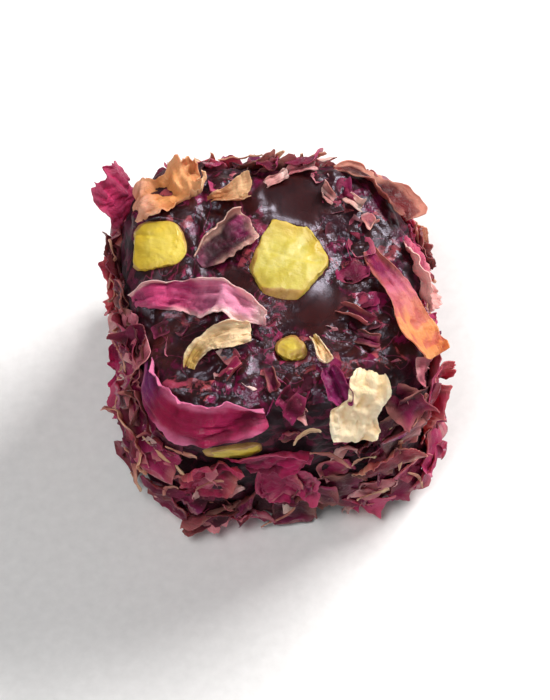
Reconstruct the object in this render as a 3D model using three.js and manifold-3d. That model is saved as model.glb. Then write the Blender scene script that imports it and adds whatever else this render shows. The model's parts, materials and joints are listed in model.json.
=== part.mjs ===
// One cut piece of dark fruit Turkish delight: a soft, rounded cube of dark jelly sliced from a square log.
// The log was rolled in dried rose petals, so petals cover the sides and curl over the rim, while the top
// and the base are knife cuts. Pistachio kernels run through the jelly and show where the knife or a side
// opened them. Millimetres, +Z up, origin in the middle of the flat base, +Y to the back.
import * as THREE from 'three';
import { mergeVertices } from 'three/addons/utils/BufferGeometryUtils.js';
import Module from 'manifold-3d';

const wasm = await Module();
wasm.setup();

// Driving dimensions
const halfWidth = 14.6;
const halfDepth = 14.2;
const halfHeight = 14.0;
const height = 27.0;
const outlinePower = 3.8; // plan outline: 2 is round, 10 is nearly square
const edgePower = 6.5; // rounding of the rim and the foot, on the same scale
const fitGap = 0.3; // air between pieces that lie on or in each other
const petalThickness = 0.5;
const bluntEnd = 0.7; // a petal is nowhere narrower than this
const kernelProud = 0.35; // how far a cut kernel stands out of the jelly
const foot = 0.4; // petals end this far above the surface the piece stands on
const flakeRoom = 0.9; // from a flake's free half to the petals that can be told apart, along the skin
const kernelRoom = 0.6; // from a flake to a kernel
const skinCells = 12; // facets along each side of the jelly

const middle = new THREE.Vector3(0, 0, height - halfHeight);

// Soft, uneven swelling of the jelly: [reach in mm, radians per mm along x, y and z, phase]
const swellings = [
  [0.42, 0.23, 0.11, 0.07, 0.6],
  [0.34, -0.13, 0.27, 0.12, 2.1],
  [0.24, 0.35, -0.21, 0.31, 4.0],
  [0.2, 0.16, 0.44, -0.38, 1.2],
  [0.13, 0.66, 0.31, 0.52, 5.1],
  [0.11, -0.48, 0.71, 0.37, 3.3],
];

function swelling(p) {
  let sum = 0;
  for (const [reach, x, y, z, phase] of swellings) {
    sum += reach * Math.sin(x * p.x + y * p.y + z * p.z + phase);
  }
  return sum;
}

// The jelly's skin is star-shaped about its middle: one distance for each direction.
function skinDistance(direction) {
  const plan =
    Math.abs(direction.x / halfWidth) ** outlinePower + Math.abs(direction.y / halfDepth) ** outlinePower;
  const upright = Math.abs(direction.z / halfHeight) ** edgePower;
  const smooth = (plan ** (edgePower / outlinePower) + upright) ** (-1 / edgePower);
  return smooth + swelling(direction.clone().multiplyScalar(smooth));
}

function onSkin(point, proud = 0) {
  const direction = point.clone().sub(middle).normalize();
  return direction.multiplyScalar(skinDistance(direction) + proud).add(middle);
}

function skinNormal(point) {
  const step = 0.4;
  const out = point.clone().sub(middle).normalize();
  const side = new THREE.Vector3(0, 0, 1).cross(out);
  if (side.length() < 0.1) side.set(1, 0, 0);
  side.normalize();
  const up = out.clone().cross(side);
  const at = (s, u) => onSkin(point.clone().addScaledVector(side, s).addScaledVector(up, u));
  const alongSide = at(step, 0).sub(at(-step, 0));
  const alongUp = at(0, step).sub(at(0, -step));
  return alongSide.cross(alongUp).normalize();
}

// A small seeded generator, so that every build draws the same piece.
function seeded(seed) {
  let state = seed;
  return (low, high) => {
    state = (Math.imul(state, 1664525) + 1013904223) >>> 0;
    return low + ((high - low) * state) / 4294967296;
  };
}

function solidFrom(geometry) {
  const bare = new THREE.BufferGeometry().setAttribute('position', geometry.getAttribute('position'));
  if (geometry.index) bare.setIndex(geometry.index);
  const merged = mergeVertices(bare, 1e-4);
  const vertProperties = new Float32Array(merged.attributes.position.array);
  const triVerts = new Uint32Array(merged.index.array);
  return new wasm.Manifold(new wasm.Mesh({ numProp: 3, vertProperties, triVerts }));
}

function geometryFrom(solid) {
  const mesh = solid.getMesh();
  const points = new Float32Array(mesh.numVert * 3);
  for (let i = 0; i < mesh.numVert; i++) {
    points.set(mesh.vertProperties.subarray(i * mesh.numProp, i * mesh.numProp + 3), i * 3);
  }
  return new THREE.BufferGeometry()
    .setAttribute('position', new THREE.BufferAttribute(points, 3))
    .setIndex(new THREE.BufferAttribute(mesh.triVerts, 1));
}

function largestBody(solid) {
  const bodies = solid.decompose();
  return bodies.sort((a, b) => b.volume() - a.volume())[0];
}

function eachPoint(geometry, place) {
  const position = geometry.getAttribute('position');
  const point = new THREE.Vector3();
  for (let i = 0; i < position.count; i++) {
    const placed = place(point.fromBufferAttribute(position, i), i);
    position.setXYZ(i, placed.x, placed.y, placed.z);
  }
  return geometry;
}

// Jelly: a gridded box drawn onto the skin, with a flat base.
function jellySolid() {
  const sides = [2 * halfWidth, 2 * halfDepth, 2 * halfHeight];
  const box = new THREE.BoxGeometry(...sides, skinCells, skinCells, skinCells);
  eachPoint(box, (point) => {
    const drawn = onSkin(point.add(middle));
    drawn.z = Math.max(drawn.z, 0);
    return drawn;
  });
  return solidFrom(box);
}

// Gives an open sheet a thickness. Both faces keep the same triangles, and a rim joins their free edges.
function thickened(sheet, thickness) {
  sheet.computeVertexNormals();
  const position = sheet.getAttribute('position');
  const normal = sheet.getAttribute('normal');
  const count = position.count;
  const points = new Float32Array(count * 6);
  for (let i = 0; i < count; i++) {
    for (let axis = 0; axis < 3; axis++) {
      const half = (normal.getComponent(i, axis) * thickness) / 2;
      points[i * 3 + axis] = position.getComponent(i, axis) + half;
      points[(count + i) * 3 + axis] = position.getComponent(i, axis) - half;
    }
  }
  const top = Array.from(sheet.index.array);
  const faces = [...top];
  const edges = new Map();
  for (let i = 0; i < top.length; i += 3) {
    const corners = top.slice(i, i + 3);
    faces.push(count + corners[0], count + corners[2], count + corners[1]);
    corners.forEach((from, k) => edges.set(`${from} ${corners[(k + 1) % 3]}`, [from, corners[(k + 1) % 3]]));
  }
  for (const [from, to] of edges.values()) {
    if (!edges.has(`${to} ${from}`)) faces.push(to, from, count + from, to, count + from, count + to);
  }
  return new THREE.BufferGeometry()
    .setAttribute('position', new THREE.BufferAttribute(points, 3))
    .setIndex(faces);
}

// Share of the full width at t, from the narrow claw at 0 to the rounded, torn lip at 1.
function petalWidth(t, petal) {
  const opened = petal.claw + (1 - petal.claw) * Math.sin((Math.min(1, t / 0.6) * Math.PI) / 2);
  const lip = Math.sqrt(1 - petal.point * t ** 7);
  const torn = 1 + 0.12 * Math.sin(8 * t + petal.phase);
  const waist = 1 - petal.waist * Math.exp(-(((t - petal.waistAt) / 0.16) ** 2)) - petal.taper * t * t;
  return Math.max(bluntEnd / petal.width, opened * lip * torn * waist);
}

// A petal's midline: a parabola through its claw, its middle and its lip.
function spineOf(petal) {
  const [from, via, to] = petal.spine.map((point) => new THREE.Vector3(...point));
  const pull = via.multiplyScalar(2).addScaledVector(from, -0.5).addScaledVector(to, -0.5);
  return new THREE.QuadraticBezierCurve3(from, pull, to);
}

// A petal clings to the skin along its spine, except where it is loose, and it rises, cups and waves.
function petalSheet(petal, grow, cells) {
  const spine = spineOf(petal);
  const length = spine.getLength();
  const rootOut = skinNormal(spine.v0);
  const sheet = new THREE.PlaneGeometry(1, 2, cells[0], cells[1]);
  eachPoint(sheet, ({ x, y }) => {
    const t = x + 0.5;
    const centre = spine.getPoint(t + ((2 * t - 1) * grow) / length);
    const out = skinNormal(centre);
    const along = spine.getTangent(t).projectOnPlane(out).normalize();
    const share = petalWidth(t, petal);
    const half = (share * petal.width) / 2 + grow;
    const free = centre.addScaledVector(out.clone().cross(along), y * half);
    const laid = onSkin(free).lerp(free, petal.loose * t * t);
    const across = y * share;
    const cup = petal.cup * across * across * (0.4 + t);
    const ripple = 1 + Math.sin(petal.folds * t * Math.PI + petal.phase + 1.3 * across);
    const wave = petal.wave * ripple * (0.2 + 0.6 * t);
    const facing = skinNormal(laid).lerp(rootOut, petal.loose * t).normalize();
    laid.addScaledVector(facing, petal.lift + petal.rise * t * t + cup + wave);
    laid.z = Math.max(laid.z, foot + petalThickness);
    return laid;
  });
  return sheet;
}

function petalSolid(petal) {
  return solidFrom(thickened(petalSheet(petal, 0, petal.cells), petalThickness));
}

// The room a petal needs in its neighbours: the same sheet, longer, wider and thicker by the gap.
function petalBed(petal) {
  return solidFrom(thickened(petalSheet(petal, fitGap, petal.cells), petalThickness + 2 * fitGap));
}

const restLift = petalThickness / 2 + fitGap + 0.05; // a loose petal just clears the skin
const sunk = -0.1; // a fused flake starts in the skin
const plainPetal = {
  claw: 0.35,
  point: 0.9, // 0 leaves the lip square, 1 brings it to a point
  waist: 0,
  waistAt: 0.48,
  taper: 0,
  lift: restLift,
  rise: 0.3,
  cup: 0.3,
  wave: 0.2,
  folds: 1.5,
  loose: 0,
  phase: 0,
  cells: [6, 3],
};

// Petals and petal parts that can be told apart on the top and over its rim.
// Each spine has a claw, a middle and a lip.
const topPetals = {
  petal_wavy: {
    spine: [[-14, 1.4, 25], [-7.6, 0.3, 27], [-1.4, -3.3, 27.4]],
    width: 4.8,
    taper: 0.3,
    wave: 0.8,
    folds: 3.8,
  },
  petal_swirl: {
    spine: [[-7.0, 3.8, 27], [-4.2, 5.4, 27], [-1.4, 6.8, 27]],
    width: 4.6,
    point: 0.6,
    cup: 0.8,
    folds: 1,
  },
  calyx_scrap: {
    spine: [[-12.2, 10.2, 25.6], [-8.6, 11.0, 26.4], [-5.0, 12.0, 26.4]],
    width: 4.8,
    claw: 0.6,
    rise: 0.5,
    cup: 0.8,
    wave: 0.6,
    folds: 3,
  },
  claw_point: {
    spine: [[-5.2, 10.3, 27], [-3.1, 10.1, 27], [-0.9, 10.0, 27]],
    width: 3.1,
    claw: 0.22,
    point: 0.3,
    taper: -0.15,
    rise: 0.8,
  },
  claw_crescent: {
    spine: [[-9.4, -7.2, 26.5], [-7.2, -5.1, 26.8], [-3.2, -4.8, 27.2]],
    width: 2.2,
    claw: 0.7,
    cup: 0.5,
    wave: 0.35,
    folds: 1,
  },
  claw_sliver: {
    spine: [[2.9, -5.6, 27.2], [3.5, -7.1, 27.2], [4.3, -8.6, 27.2]],
    width: 1.5,
    claw: 0.6,
    cup: 0.2,
  },
  petal_dusk: {
    spine: [[3.9, -8.8, 27], [4.4, -10.4, 26.6], [5.0, -12.2, 25.6]],
    width: 3.0,
    cup: 0.4,
  },
  claw_flake: {
    spine: [[8.1, -9.6, 26.8], [6.9, -12.7, 26.0], [5.3, -15.5, 23.0]],
    width: 5.8,
    claw: 0.62,
    point: 0.45,
    waist: 0.3,
    waistAt: 0.42,
    wave: 0.35,
    folds: 2.4,
    loose: 0.5,
  },
  petal_draped: {
    spine: [[-13.4, -5.0, 24.8], [-10.2, -11.2, 25.2], [-2.9, -12.7, 26.2]],
    width: 3.5,
    point: 0.6,
    cup: 0.8,
    wave: 0.6,
    folds: 1.6,
  },
  petal_front: {
    spine: [[-7.4, -14.2, 17.4], [-3.2, -15, 18.4], [1.8, -14.4, 17.4]],
    width: 5.8,
    wave: 0.4,
    folds: 2,
  },
  petal_tip: {
    spine: [[10.0, 3.0, 26.4], [11.9, -3.2, 26.3], [14.1, -9.3, 25.5]],
    width: 3.4,
    claw: 0.5,
    point: 0.15,
    taper: -0.4,
    rise: 0.4,
    cup: 0.7,
    wave: 0.3,
    loose: 0.8,
  },
  petal_rim_right: {
    spine: [[14.4, 5.0, 24], [14.9, 1.0, 24.4], [15.0, -3.2, 23.4]],
    width: 4.8,
    cup: 0.8,
    wave: 0.3,
    folds: 2.6,
  },
  petal_rim_back: {
    spine: [[7.8, 12.6, 25.4], [11.8, 11.0, 25.2], [14.0, 6.6, 24.8]],
    width: 3.6,
    point: 0.6,
    cup: 0.7,
    wave: 0.35,
    folds: 2.4,
  },
  petal_corner: {
    spine: [[-12.2, 12.2, 20], [-13.8, 13.6, 23.8], [-15.2, 14.6, 27.2]],
    width: 5.6,
    rise: 0.6,
    cup: 0.8,
    loose: 0.7,
  },
};

// The spine of a piece that lies about `point` and runs along `along`.
function spineAt(point, along, length) {
  const reach = along.clone().setLength(length / 2);
  return [point.clone().sub(reach).toArray(), point.toArray(), point.clone().add(reach).toArray()];
}

// Large petals rolled onto the walls: one row for each wall, spaced by a rule.
const walls = { front: -90, right: 0, back: 90, left: 180 };
const wallRow = { spacing: 8.8, heightLow: 12, heightHigh: 13.5, length: [8.5, 11], width: [6, 8] };

function wallPetals() {
  const draw = seeded(25);
  const row = {};
  for (const [wall, degrees] of Object.entries(walls)) {
    const angle = THREE.MathUtils.degToRad(degrees);
    const outward = new THREE.Vector3(Math.cos(angle), Math.sin(angle), 0);
    const sideways = new THREE.Vector3(-Math.sin(angle), Math.cos(angle), 0);
    for (let i = 0; i < 3; i++) {
      const lowered = i % 2;
      const point = outward.clone().multiplyScalar(halfWidth);
      point.addScaledVector(sideways, (i - 1) * wallRow.spacing + draw(-0.8, 0.8));
      point.z = lowered ? wallRow.heightLow : wallRow.heightHigh;
      const along = sideways.clone().multiplyScalar(draw(-0.5, 0.5)).setZ(lowered ? -1 : 1);
      row[`petal_${wall}_${i + 1}`] = {
        spine: spineAt(point, along, draw(...wallRow.length)),
        width: draw(...wallRow.width),
        rise: draw(0.4, 1.3),
        cup: draw(0.4, 1.0),
        wave: draw(0.25, 0.55),
        folds: draw(1, 3),
        phase: draw(0, 6),
        point: draw(0.3, 0.9),
      };
    }
  }
  return row;
}

// Flakes and small petals pressed into the coat, fused to the jelly: rings on the walls and the rim.
const wallFlake = { length: [4.5, 7], width: [3.2, 5], rise: [0.9, 1.7], cup: [0.1, 0.7], cells: [3, 2] };
const rimFlake = { length: [4, 6.5], width: [2.6, 4.2], rise: [0.8, 1.6], cup: [0.1, 0.7], cells: [3, 2] };
const flakeRings = [
  { kind: wallFlake, count: 16, radius: 20, height: 3.4 },
  { kind: wallFlake, count: 12, radius: 20, height: 9 },
  { kind: wallFlake, count: 12, radius: 20, height: 14 },
  { kind: wallFlake, count: 16, radius: 20, height: 19.4 },
  { kind: rimFlake, count: 20, radius: 14.4, height: 24 },
];
const tucked = 0.5; // share of a flake that may lie under a neighbour
const footprintCells = [8, 4]; // fine enough that no flake slips between the points of a petal
const flakeTries = 8; // places that are tried for each flake before it is left out
const hashStep = 2654435761; // spreads the seeds of neighbouring flakes

// Scraps of petal on the knife cut, fused to the jelly: each one's middle, turn in degrees and size.
const topScraps = [
  { at: [6.8, 9.3], turn: 140, length: 1.7, width: 1.3 },
  { at: [9.5, 8.6], turn: -50, length: 2.6, width: 1.4 },
  { at: [10.9, 6.3], turn: -70, length: 2.0, width: 1.3 },
  { at: [1.8, 11.6], turn: 20, length: 2.8, width: 1.3 },
  { at: [4.6, 13.2], turn: -8, length: 3.4, width: 1.5 },
  { at: [-1.6, 13.6], turn: 10, length: 3.6, width: 1.8 },
  { at: [6.9, -3.9], turn: -40, length: 3.8, width: 1.5 },
  { at: [7.7, -6.6], turn: -25, length: 2.8, width: 1.5 },
  { at: [-1.6, -9.4], turn: -84, length: 3.0, width: 1.2 },
  { at: [-5.6, -8.4], turn: 35, length: 2.6, width: 1.3 },
  { at: [0.6, -13.8], turn: -25, length: 2.2, width: 1.2 },
];

// The points of a petal's sheet put back on the skin, from a share of its length to the lip.
function footprint(petal, cells, from) {
  const position = petalSheet(petal, 0, cells).getAttribute('position');
  const spots = [];
  for (let i = 0; i < position.count; i++) {
    const t = (i % (cells[0] + 1)) / cells[0];
    if (t >= from) spots.push(onSkin(new THREE.Vector3().fromBufferAttribute(position, i)));
  }
  return spots;
}

function scrapFlakes() {
  return topScraps.map(({ at: [x, y], turn, length, width }) => {
    const angle = THREE.MathUtils.degToRad(turn);
    const point = onSkin(new THREE.Vector3(x, y, height));
    const along = new THREE.Vector3(Math.cos(angle), Math.sin(angle), 0);
    const spine = spineAt(point, along, length);
    return { ...plainPetal, spine, width, claw: 0.6, point: 0.4, lift: sunk, rise: 0.6, cells: [2, 2] };
  });
}

function isClear(flake, from, taken) {
  return footprint(flake, flake.cells, from).every((spot) => hasRoom(spot, taken));
}

function coatFlakes(taken) {
  const flakes = scrapFlakes().filter((scrap) => isClear(scrap, 0, taken));
  let slot = 0;
  for (const { kind, count, radius, height: level } of flakeRings) {
    for (let i = 0; i < count; i++) {
      slot += 1;
      const draw = seeded(Math.imul(slot, hashStep) >>> 0);
      for (let attempt = 0; attempt < flakeTries; attempt++) {
        const angle = ((i + (slot % 2) / 2 + draw(-0.4, 0.4)) / count) * 2 * Math.PI;
        const turn = draw(0, 2 * Math.PI);
        const out = new THREE.Vector3(Math.cos(angle), Math.sin(angle), 0);
        const around = new THREE.Vector3(-out.y, out.x, 0).multiplyScalar(Math.cos(turn));
        const point = out.multiplyScalar(radius).setZ(level + draw(-1.2, 1.2));
        const flake = {
          ...plainPetal,
          spine: spineAt(onSkin(point), around.setZ(Math.sin(turn)), draw(...kind.length)),
          width: draw(...kind.width),
          lift: sunk,
          rise: draw(...kind.rise),
          cup: draw(...kind.cup),
          phase: draw(0, 6),
          claw: draw(0.3, 0.7),
          point: draw(0.2, 0.9),
          cells: kind.cells,
        };
        if (isClear(flake, tucked, taken)) {
          flakes.push(flake);
          break;
        }
      }
    }
  }
  return flakes;
}

function hasRoom(spot, taken) {
  if (taken.some((other) => other.distanceTo(spot) < flakeRoom)) return false;
  return Object.values(kernels).every((kernel) => kernelReach(spot, kernel) > kernelRoom);
}

// Pistachio kernels: centre, half sizes, turn about Z and tilt in degrees, and how finely each is faceted.
// The skin, or the base, cuts each one where it comes out. A broken kernel has chips as well: upright
// breaks, each with the direction it faces in degrees and its reach from the centre.
const kernels = {
  kernel_top: {
    centre: [1.8, 2.2, 22.6],
    half: [5.6, 7.0, 6.4],
    turn: -15,
    tilt: 8,
    facets: 4,
    chips: [[-8, 3.7], [-45, 3.0], [-83, 4.2], [-123, 4.5], [-164, 3.7], [146, 3.4], [72, 4.0], [26, 3.5]],
  },
  kernel_left: {
    centre: [-10.3, 6.4, 23.2],
    half: [3.5, 3.5, 5.2],
    turn: 0,
    tilt: 6,
    facets: 3,
    chips: [[-8, 2.6], [82, 2.5], [172, 2.6], [-98, 2.5]],
  },
  kernel_chip: {
    centre: [0.6, -6.6, 24.8],
    half: [2.4, 2.2, 3.4],
    turn: 30,
    tilt: 10,
    facets: 2,
    chips: [[30, 1.2], [-95, 1.3], [160, 1.3]],
  },
  kernel_front: { centre: [-6.0, -12.1, 20.4], half: [3.0, 3.6, 2.4], turn: 8, tilt: 0, facets: 2 },
  kernel_right: { centre: [12.2, -4.4, 12.6], half: [3.7, 3.9, 3.0], turn: 25, tilt: 12, facets: 2 },
  kernel_back: { centre: [4.6, 12.0, 9.4], half: [4.0, 3.6, 3.4], turn: -12, tilt: 18, facets: 2 },
  kernel_wall: { centre: [-12.4, -4.6, 7.6], half: [3.6, 4.2, 2.9], turn: 12, tilt: -10, facets: 2 },
  kernel_base: { centre: [6.4, 5.2, 2.2], half: [3.8, 3.0, 3.6], turn: 35, tilt: 0, facets: 2 },
  kernel_under: { centre: [-6.8, -5.6, 1.6], half: [3.0, 3.9, 3.0], turn: 10, tilt: 0, facets: 2 },
};

function breaksOf(kernel) {
  return (kernel.chips ?? []).map(([facing, reach]) => {
    const angle = THREE.MathUtils.degToRad(facing);
    return { away: new THREE.Vector3(Math.cos(angle), Math.sin(angle), 0), reach };
  });
}

function turnOf(kernel) {
  const tilt = THREE.MathUtils.degToRad(kernel.tilt);
  const turn = THREE.MathUtils.degToRad(kernel.turn);
  return new THREE.Euler(tilt, 0, turn, 'ZYX');
}

// How far a point lies outside a kernel, below zero inside it.
function kernelReach(point, kernel) {
  const [x, y, z] = kernel.half;
  const from = point.clone().sub(new THREE.Vector3(...kernel.centre));
  const back = new THREE.Quaternion().setFromEuler(turnOf(kernel)).invert();
  const local = from.clone().applyQuaternion(back).divide(new THREE.Vector3(x, y, z));
  const outside = (local.length() - 1) * ((x + y + z) / 3);
  return Math.max(outside, ...breaksOf(kernel).map(({ away, reach }) => from.dot(away) - reach));
}

function kernelSolid(kernel, grow) {
  const ball = new THREE.IcosahedronGeometry(1, kernel.facets);
  const turned = turnOf(kernel);
  const centre = new THREE.Vector3(...kernel.centre);
  const radii = new THREE.Vector3(...kernel.half).addScalar(grow);
  eachPoint(ball, (point) => {
    const ridges = 1 + 0.05 * Math.sin(5 * point.x + 2 * point.z) * Math.cos(4 * point.y - point.z);
    const placed = point.multiplyScalar(ridges).multiply(radii).applyEuler(turned);
    for (const { away, reach } of breaksOf(kernel)) {
      placed.addScaledVector(away, -Math.max(0, placed.dot(away) - reach - grow));
    }
    placed.add(centre);
    if (grow > 0) return placed;
    const cut = onSkin(placed, kernelProud);
    return placed.distanceTo(middle) > cut.distanceTo(middle) ? cut : placed;
  });
  return solidFrom(ball);
}

function belowGround() {
  const size = 80;
  const box = new THREE.BoxGeometry(size, size, size);
  box.translate(0, 0, -size / 2);
  return solidFrom(box);
}

const petalColours = {
  rose: 0x8e2a52,
  dusk: 0x5e1238,
  orange: 0xc87848,
  cream: 0xe8c9a7,
  pink: 0xb0526e,
};
const toneOf = {
  calyx_scrap: 'orange',
  claw_point: 'cream',
  claw_crescent: 'cream',
  claw_sliver: 'cream',
  claw_flake: 'cream',
  petal_dusk: 'dusk',
  petal_swirl: 'dusk',
  petal_tip: 'pink',
  petal_rim_right: 'pink',
};

function petalMaterial(name) {
  return new THREE.MeshStandardMaterial({
    color: petalColours[toneOf[name] ?? 'rose'],
    roughness: 0.55,
    metalness: 0,
    side: THREE.DoubleSide,
  });
}

function jellyMaterial() {
  return new THREE.MeshStandardMaterial({ color: 0x3a1418, roughness: 0.25, metalness: 0 });
}

function kernelMaterial() {
  return new THREE.MeshStandardMaterial({ color: 0xe3cf52, roughness: 0.45, metalness: 0 });
}

// A named mesh that stands at its own anchor in the group.
function placedMesh(name, solid, anchor, material) {
  const geometry = geometryFrom(solid).translate(-anchor.x, -anchor.y, -anchor.z);
  geometry.computeVertexNormals();
  const mesh = new THREE.Mesh(geometry, material);
  mesh.name = name;
  mesh.position.copy(anchor);
  return mesh;
}

function turkishDelight() {
  const petals = Object.entries({ ...topPetals, ...wallPetals() }).map(([name, shape]) => {
    const petal = { ...plainPetal, ...shape };
    return { name, petal, solid: petalSolid(petal), bed: petalBed(petal) };
  });
  // A petal gives way to the petals before it, and a kernel to every petal that lies on it.
  petals.forEach((entry, i) => {
    for (const earlier of petals.slice(0, i)) entry.solid = entry.solid.subtract(earlier.bed);
    entry.solid = largestBody(entry.solid);
  });

  const ground = belowGround();
  const nuts = Object.entries(kernels).map(([name, kernel]) => {
    const whole = kernelSolid(kernel, 0).subtract(ground);
    const solid = largestBody(petals.reduce((left, { bed }) => left.subtract(bed), whole));
    return { name, kernel, solid, pocket: kernelSolid(kernel, fitGap) };
  });

  const rooms = [...petals.map(({ bed }) => bed), ...nuts.map(({ pocket }) => pocket)];
  const taken = petals.flatMap(({ petal }) => footprint(petal, footprintCells, 0));
  let jelly = jellySolid();
  for (const flake of coatFlakes(taken)) jelly = jelly.add(petalSolid(flake));
  for (const room of rooms) jelly = jelly.subtract(room);
  jelly = largestBody(jelly.subtract(ground));

  const delight = new THREE.Group();
  delight.add(placedMesh('jelly', jelly, new THREE.Vector3(), jellyMaterial()));
  const kernelGroup = new THREE.Group();
  for (const { name, kernel, solid } of nuts) {
    kernelGroup.add(placedMesh(name, solid, new THREE.Vector3(...kernel.centre), kernelMaterial()));
  }
  const petalGroup = new THREE.Group();
  for (const { name, petal, solid } of petals) {
    const claw = onSkin(new THREE.Vector3(...petal.spine[0]));
    petalGroup.add(placedMesh(name, solid, claw, petalMaterial(name)));
  }
  delight.add(kernelGroup, petalGroup);
  return delight;
}

export default turkishDelight();
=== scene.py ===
# Rose petal Turkish delight: one piece cut from a petal-rolled log, with pistachios.
# Shapes are worked out in millimetres and made into metres where a mesh is written.
import json
import math
import bmesh
import bpy
import numpy as np
from mathutils import Euler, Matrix, Vector, kdtree, noise

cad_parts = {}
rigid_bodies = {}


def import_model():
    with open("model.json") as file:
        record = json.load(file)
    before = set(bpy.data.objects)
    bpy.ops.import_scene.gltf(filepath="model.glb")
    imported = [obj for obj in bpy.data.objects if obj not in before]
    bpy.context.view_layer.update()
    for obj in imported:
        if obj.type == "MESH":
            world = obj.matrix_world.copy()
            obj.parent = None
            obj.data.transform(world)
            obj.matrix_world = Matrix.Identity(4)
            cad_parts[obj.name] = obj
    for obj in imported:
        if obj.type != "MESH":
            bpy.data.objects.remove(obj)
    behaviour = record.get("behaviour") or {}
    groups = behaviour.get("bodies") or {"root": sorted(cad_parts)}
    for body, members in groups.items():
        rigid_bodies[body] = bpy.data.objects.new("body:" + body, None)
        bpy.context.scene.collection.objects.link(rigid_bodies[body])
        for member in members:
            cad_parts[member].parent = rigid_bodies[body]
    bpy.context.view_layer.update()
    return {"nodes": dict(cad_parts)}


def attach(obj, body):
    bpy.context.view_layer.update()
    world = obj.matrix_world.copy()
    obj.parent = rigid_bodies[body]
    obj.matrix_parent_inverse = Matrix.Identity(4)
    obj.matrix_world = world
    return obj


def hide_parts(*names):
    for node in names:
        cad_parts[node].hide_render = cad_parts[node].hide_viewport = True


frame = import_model()
mm = 0.001
scene = bpy.context.scene
print("frame loaded:", len(frame["nodes"]), "nodes")


# Camera and studio

shot = {
    "azimuth": -8.0,  # degrees round from the front
    "elevation": 68.0,
    "distance": 0.72,
    "lens": 372.0,
    "aim": (0.0, -0.0006, 0.0122),
}


def intoScene(name, data):
    holder = bpy.data.objects.new(name, data)
    scene.collection.objects.link(holder)
    return holder


def makeCamera():
    data = bpy.data.cameras.new("camera")
    data.lens = shot["lens"]
    data.sensor_width = 36.0
    data.clip_start = 0.01
    data.clip_end = 10.0
    eye = intoScene("camera", data)
    turn, rise = math.radians(shot["azimuth"]), math.radians(shot["elevation"])
    back = Vector((math.sin(turn) * math.cos(rise), -math.cos(turn) * math.cos(rise), math.sin(rise)))
    eye.location = Vector(shot["aim"]) + back * shot["distance"]
    eye.rotation_euler = (-back).to_track_quat("-Z", "Y").to_euler()
    scene.camera = eye


lamps = {
    "window": {"at": (0.46, 0.31, 0.45), "size": (0.34, 0.26), "watts": 7.2, "tint": (1.0, 0.985, 0.97)},
    "ceiling": {"at": (-0.17, -0.16, 0.76), "size": (0.22, 0.22), "watts": 2.7, "tint": (1.0, 1.0, 1.0)},
    "reflector": {"at": (-0.50, -0.50, 0.35), "size": (0.5, 0.5), "watts": 0.5, "tint": (0.97, 0.98, 1.0)},
}
sky = {"tint": (1.0, 1.0, 1.0), "strength": 0.14}


def makeLamps():
    for name, lamp in lamps.items():
        data = bpy.data.lights.new(name, "AREA")
        data.shape = "RECTANGLE"
        data.size, data.size_y = lamp["size"]
        data.energy = lamp["watts"]
        data.color = lamp["tint"]
        holder = intoScene(name, data)
        holder.location = lamp["at"]
        aim = Vector((0, 0, 0.012)) - holder.location
        holder.rotation_euler = aim.to_track_quat("-Z", "Y").to_euler()
    world = bpy.data.worlds.new("studio")
    world.use_nodes = True
    world.node_tree.nodes["Background"].inputs["Color"].default_value = (*sky["tint"], 1)
    world.node_tree.nodes["Background"].inputs["Strength"].default_value = sky["strength"]
    scene.world = world


makeCamera()
makeLamps()
scene.view_settings.view_transform = "Standard"
print("camera and lamps placed")


# Node helpers

def tint(code):
    parts = [int(code[i:i + 2], 16) / 255 for i in (0, 2, 4)]
    linear = [p / 12.92 if p <= 0.04045 else ((p + 0.055) / 1.055) ** 2.4 for p in parts]
    return (*linear, 1.0)


# Links or sets a node's inputs, by name or by number
def feed(tree, node, inputs):
    for key, value in inputs.items():
        byName = (s for s in node.inputs if s.enabled and s.name == key)
        socket = node.inputs[key] if isinstance(key, int) else next(byName)
        if isinstance(value, bpy.types.NodeSocket):
            tree.links.new(value, socket)
        else:
            socket.default_value = value


def addNode(tree, kind, inputs=None, **settings):
    node = tree.nodes.new(kind)
    for key, value in settings.items():
        setattr(node, key, value)
    feed(tree, node, inputs or {})
    return node


def wire(tree, kind, inputs=None, **settings):
    node = addNode(tree, kind, inputs, **settings)
    return next(s for s in node.outputs if s.enabled)


def calc(tree, operation, a, b=0.0, c=0.0):
    return wire(tree, "ShaderNodeMath", {0: a, 1: b, 2: c}, operation=operation)


def remap(tree, value, low, high, toLow=0.0, toHigh=1.0):
    inputs = {"Value": value, "From Min": low, "From Max": high, "To Min": toLow, "To Max": toHigh}
    return wire(tree, "ShaderNodeMapRange", inputs, interpolation_type="SMOOTHSTEP")


# From one colour towards another, by a share that may be scaled down
def blend(tree, share, colour, towards, amount=None):
    if amount is not None:
        share = calc(tree, "MULTIPLY", share, amount)
    return wire(tree, "ShaderNodeMix", {"Factor": share, "A": colour, "B": towards}, data_type="RGBA")


def ramp(tree, factor, stops):
    node = addNode(tree, "ShaderNodeValToRGB", {"Fac": factor})
    marks = node.color_ramp.elements
    while len(marks) < len(stops):
        marks.new(0.5)
    for mark, (where, code) in zip(marks, stops):
        mark.position = where
        mark.color = tint(code)
    return node.outputs["Color"]


def attribute(tree, name):
    return addNode(tree, "ShaderNodeAttribute", attribute_name=name).outputs["Fac"]


def cloud(tree, where, scale, detail=4.0, roughness=0.55, distortion=0.0):
    inputs = {"Vector": where, "Scale": scale, "Detail": detail, "Roughness": roughness}
    return wire(tree, "ShaderNodeTexNoise", {**inputs, "Distortion": distortion})


def bump(tree, height, strength, distance, normal=None):
    inputs = {"Height": height, "Strength": strength, "Distance": distance}
    if normal is not None:
        inputs["Normal"] = normal
    return wire(tree, "ShaderNodeBump", inputs)


socketKinds = {
    "value": "Float", "whole": "Int", "colour": "Color", "place": "Vector",
    "shape": "Geometry", "pieces": "Collection", "material": "Material",
}


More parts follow.
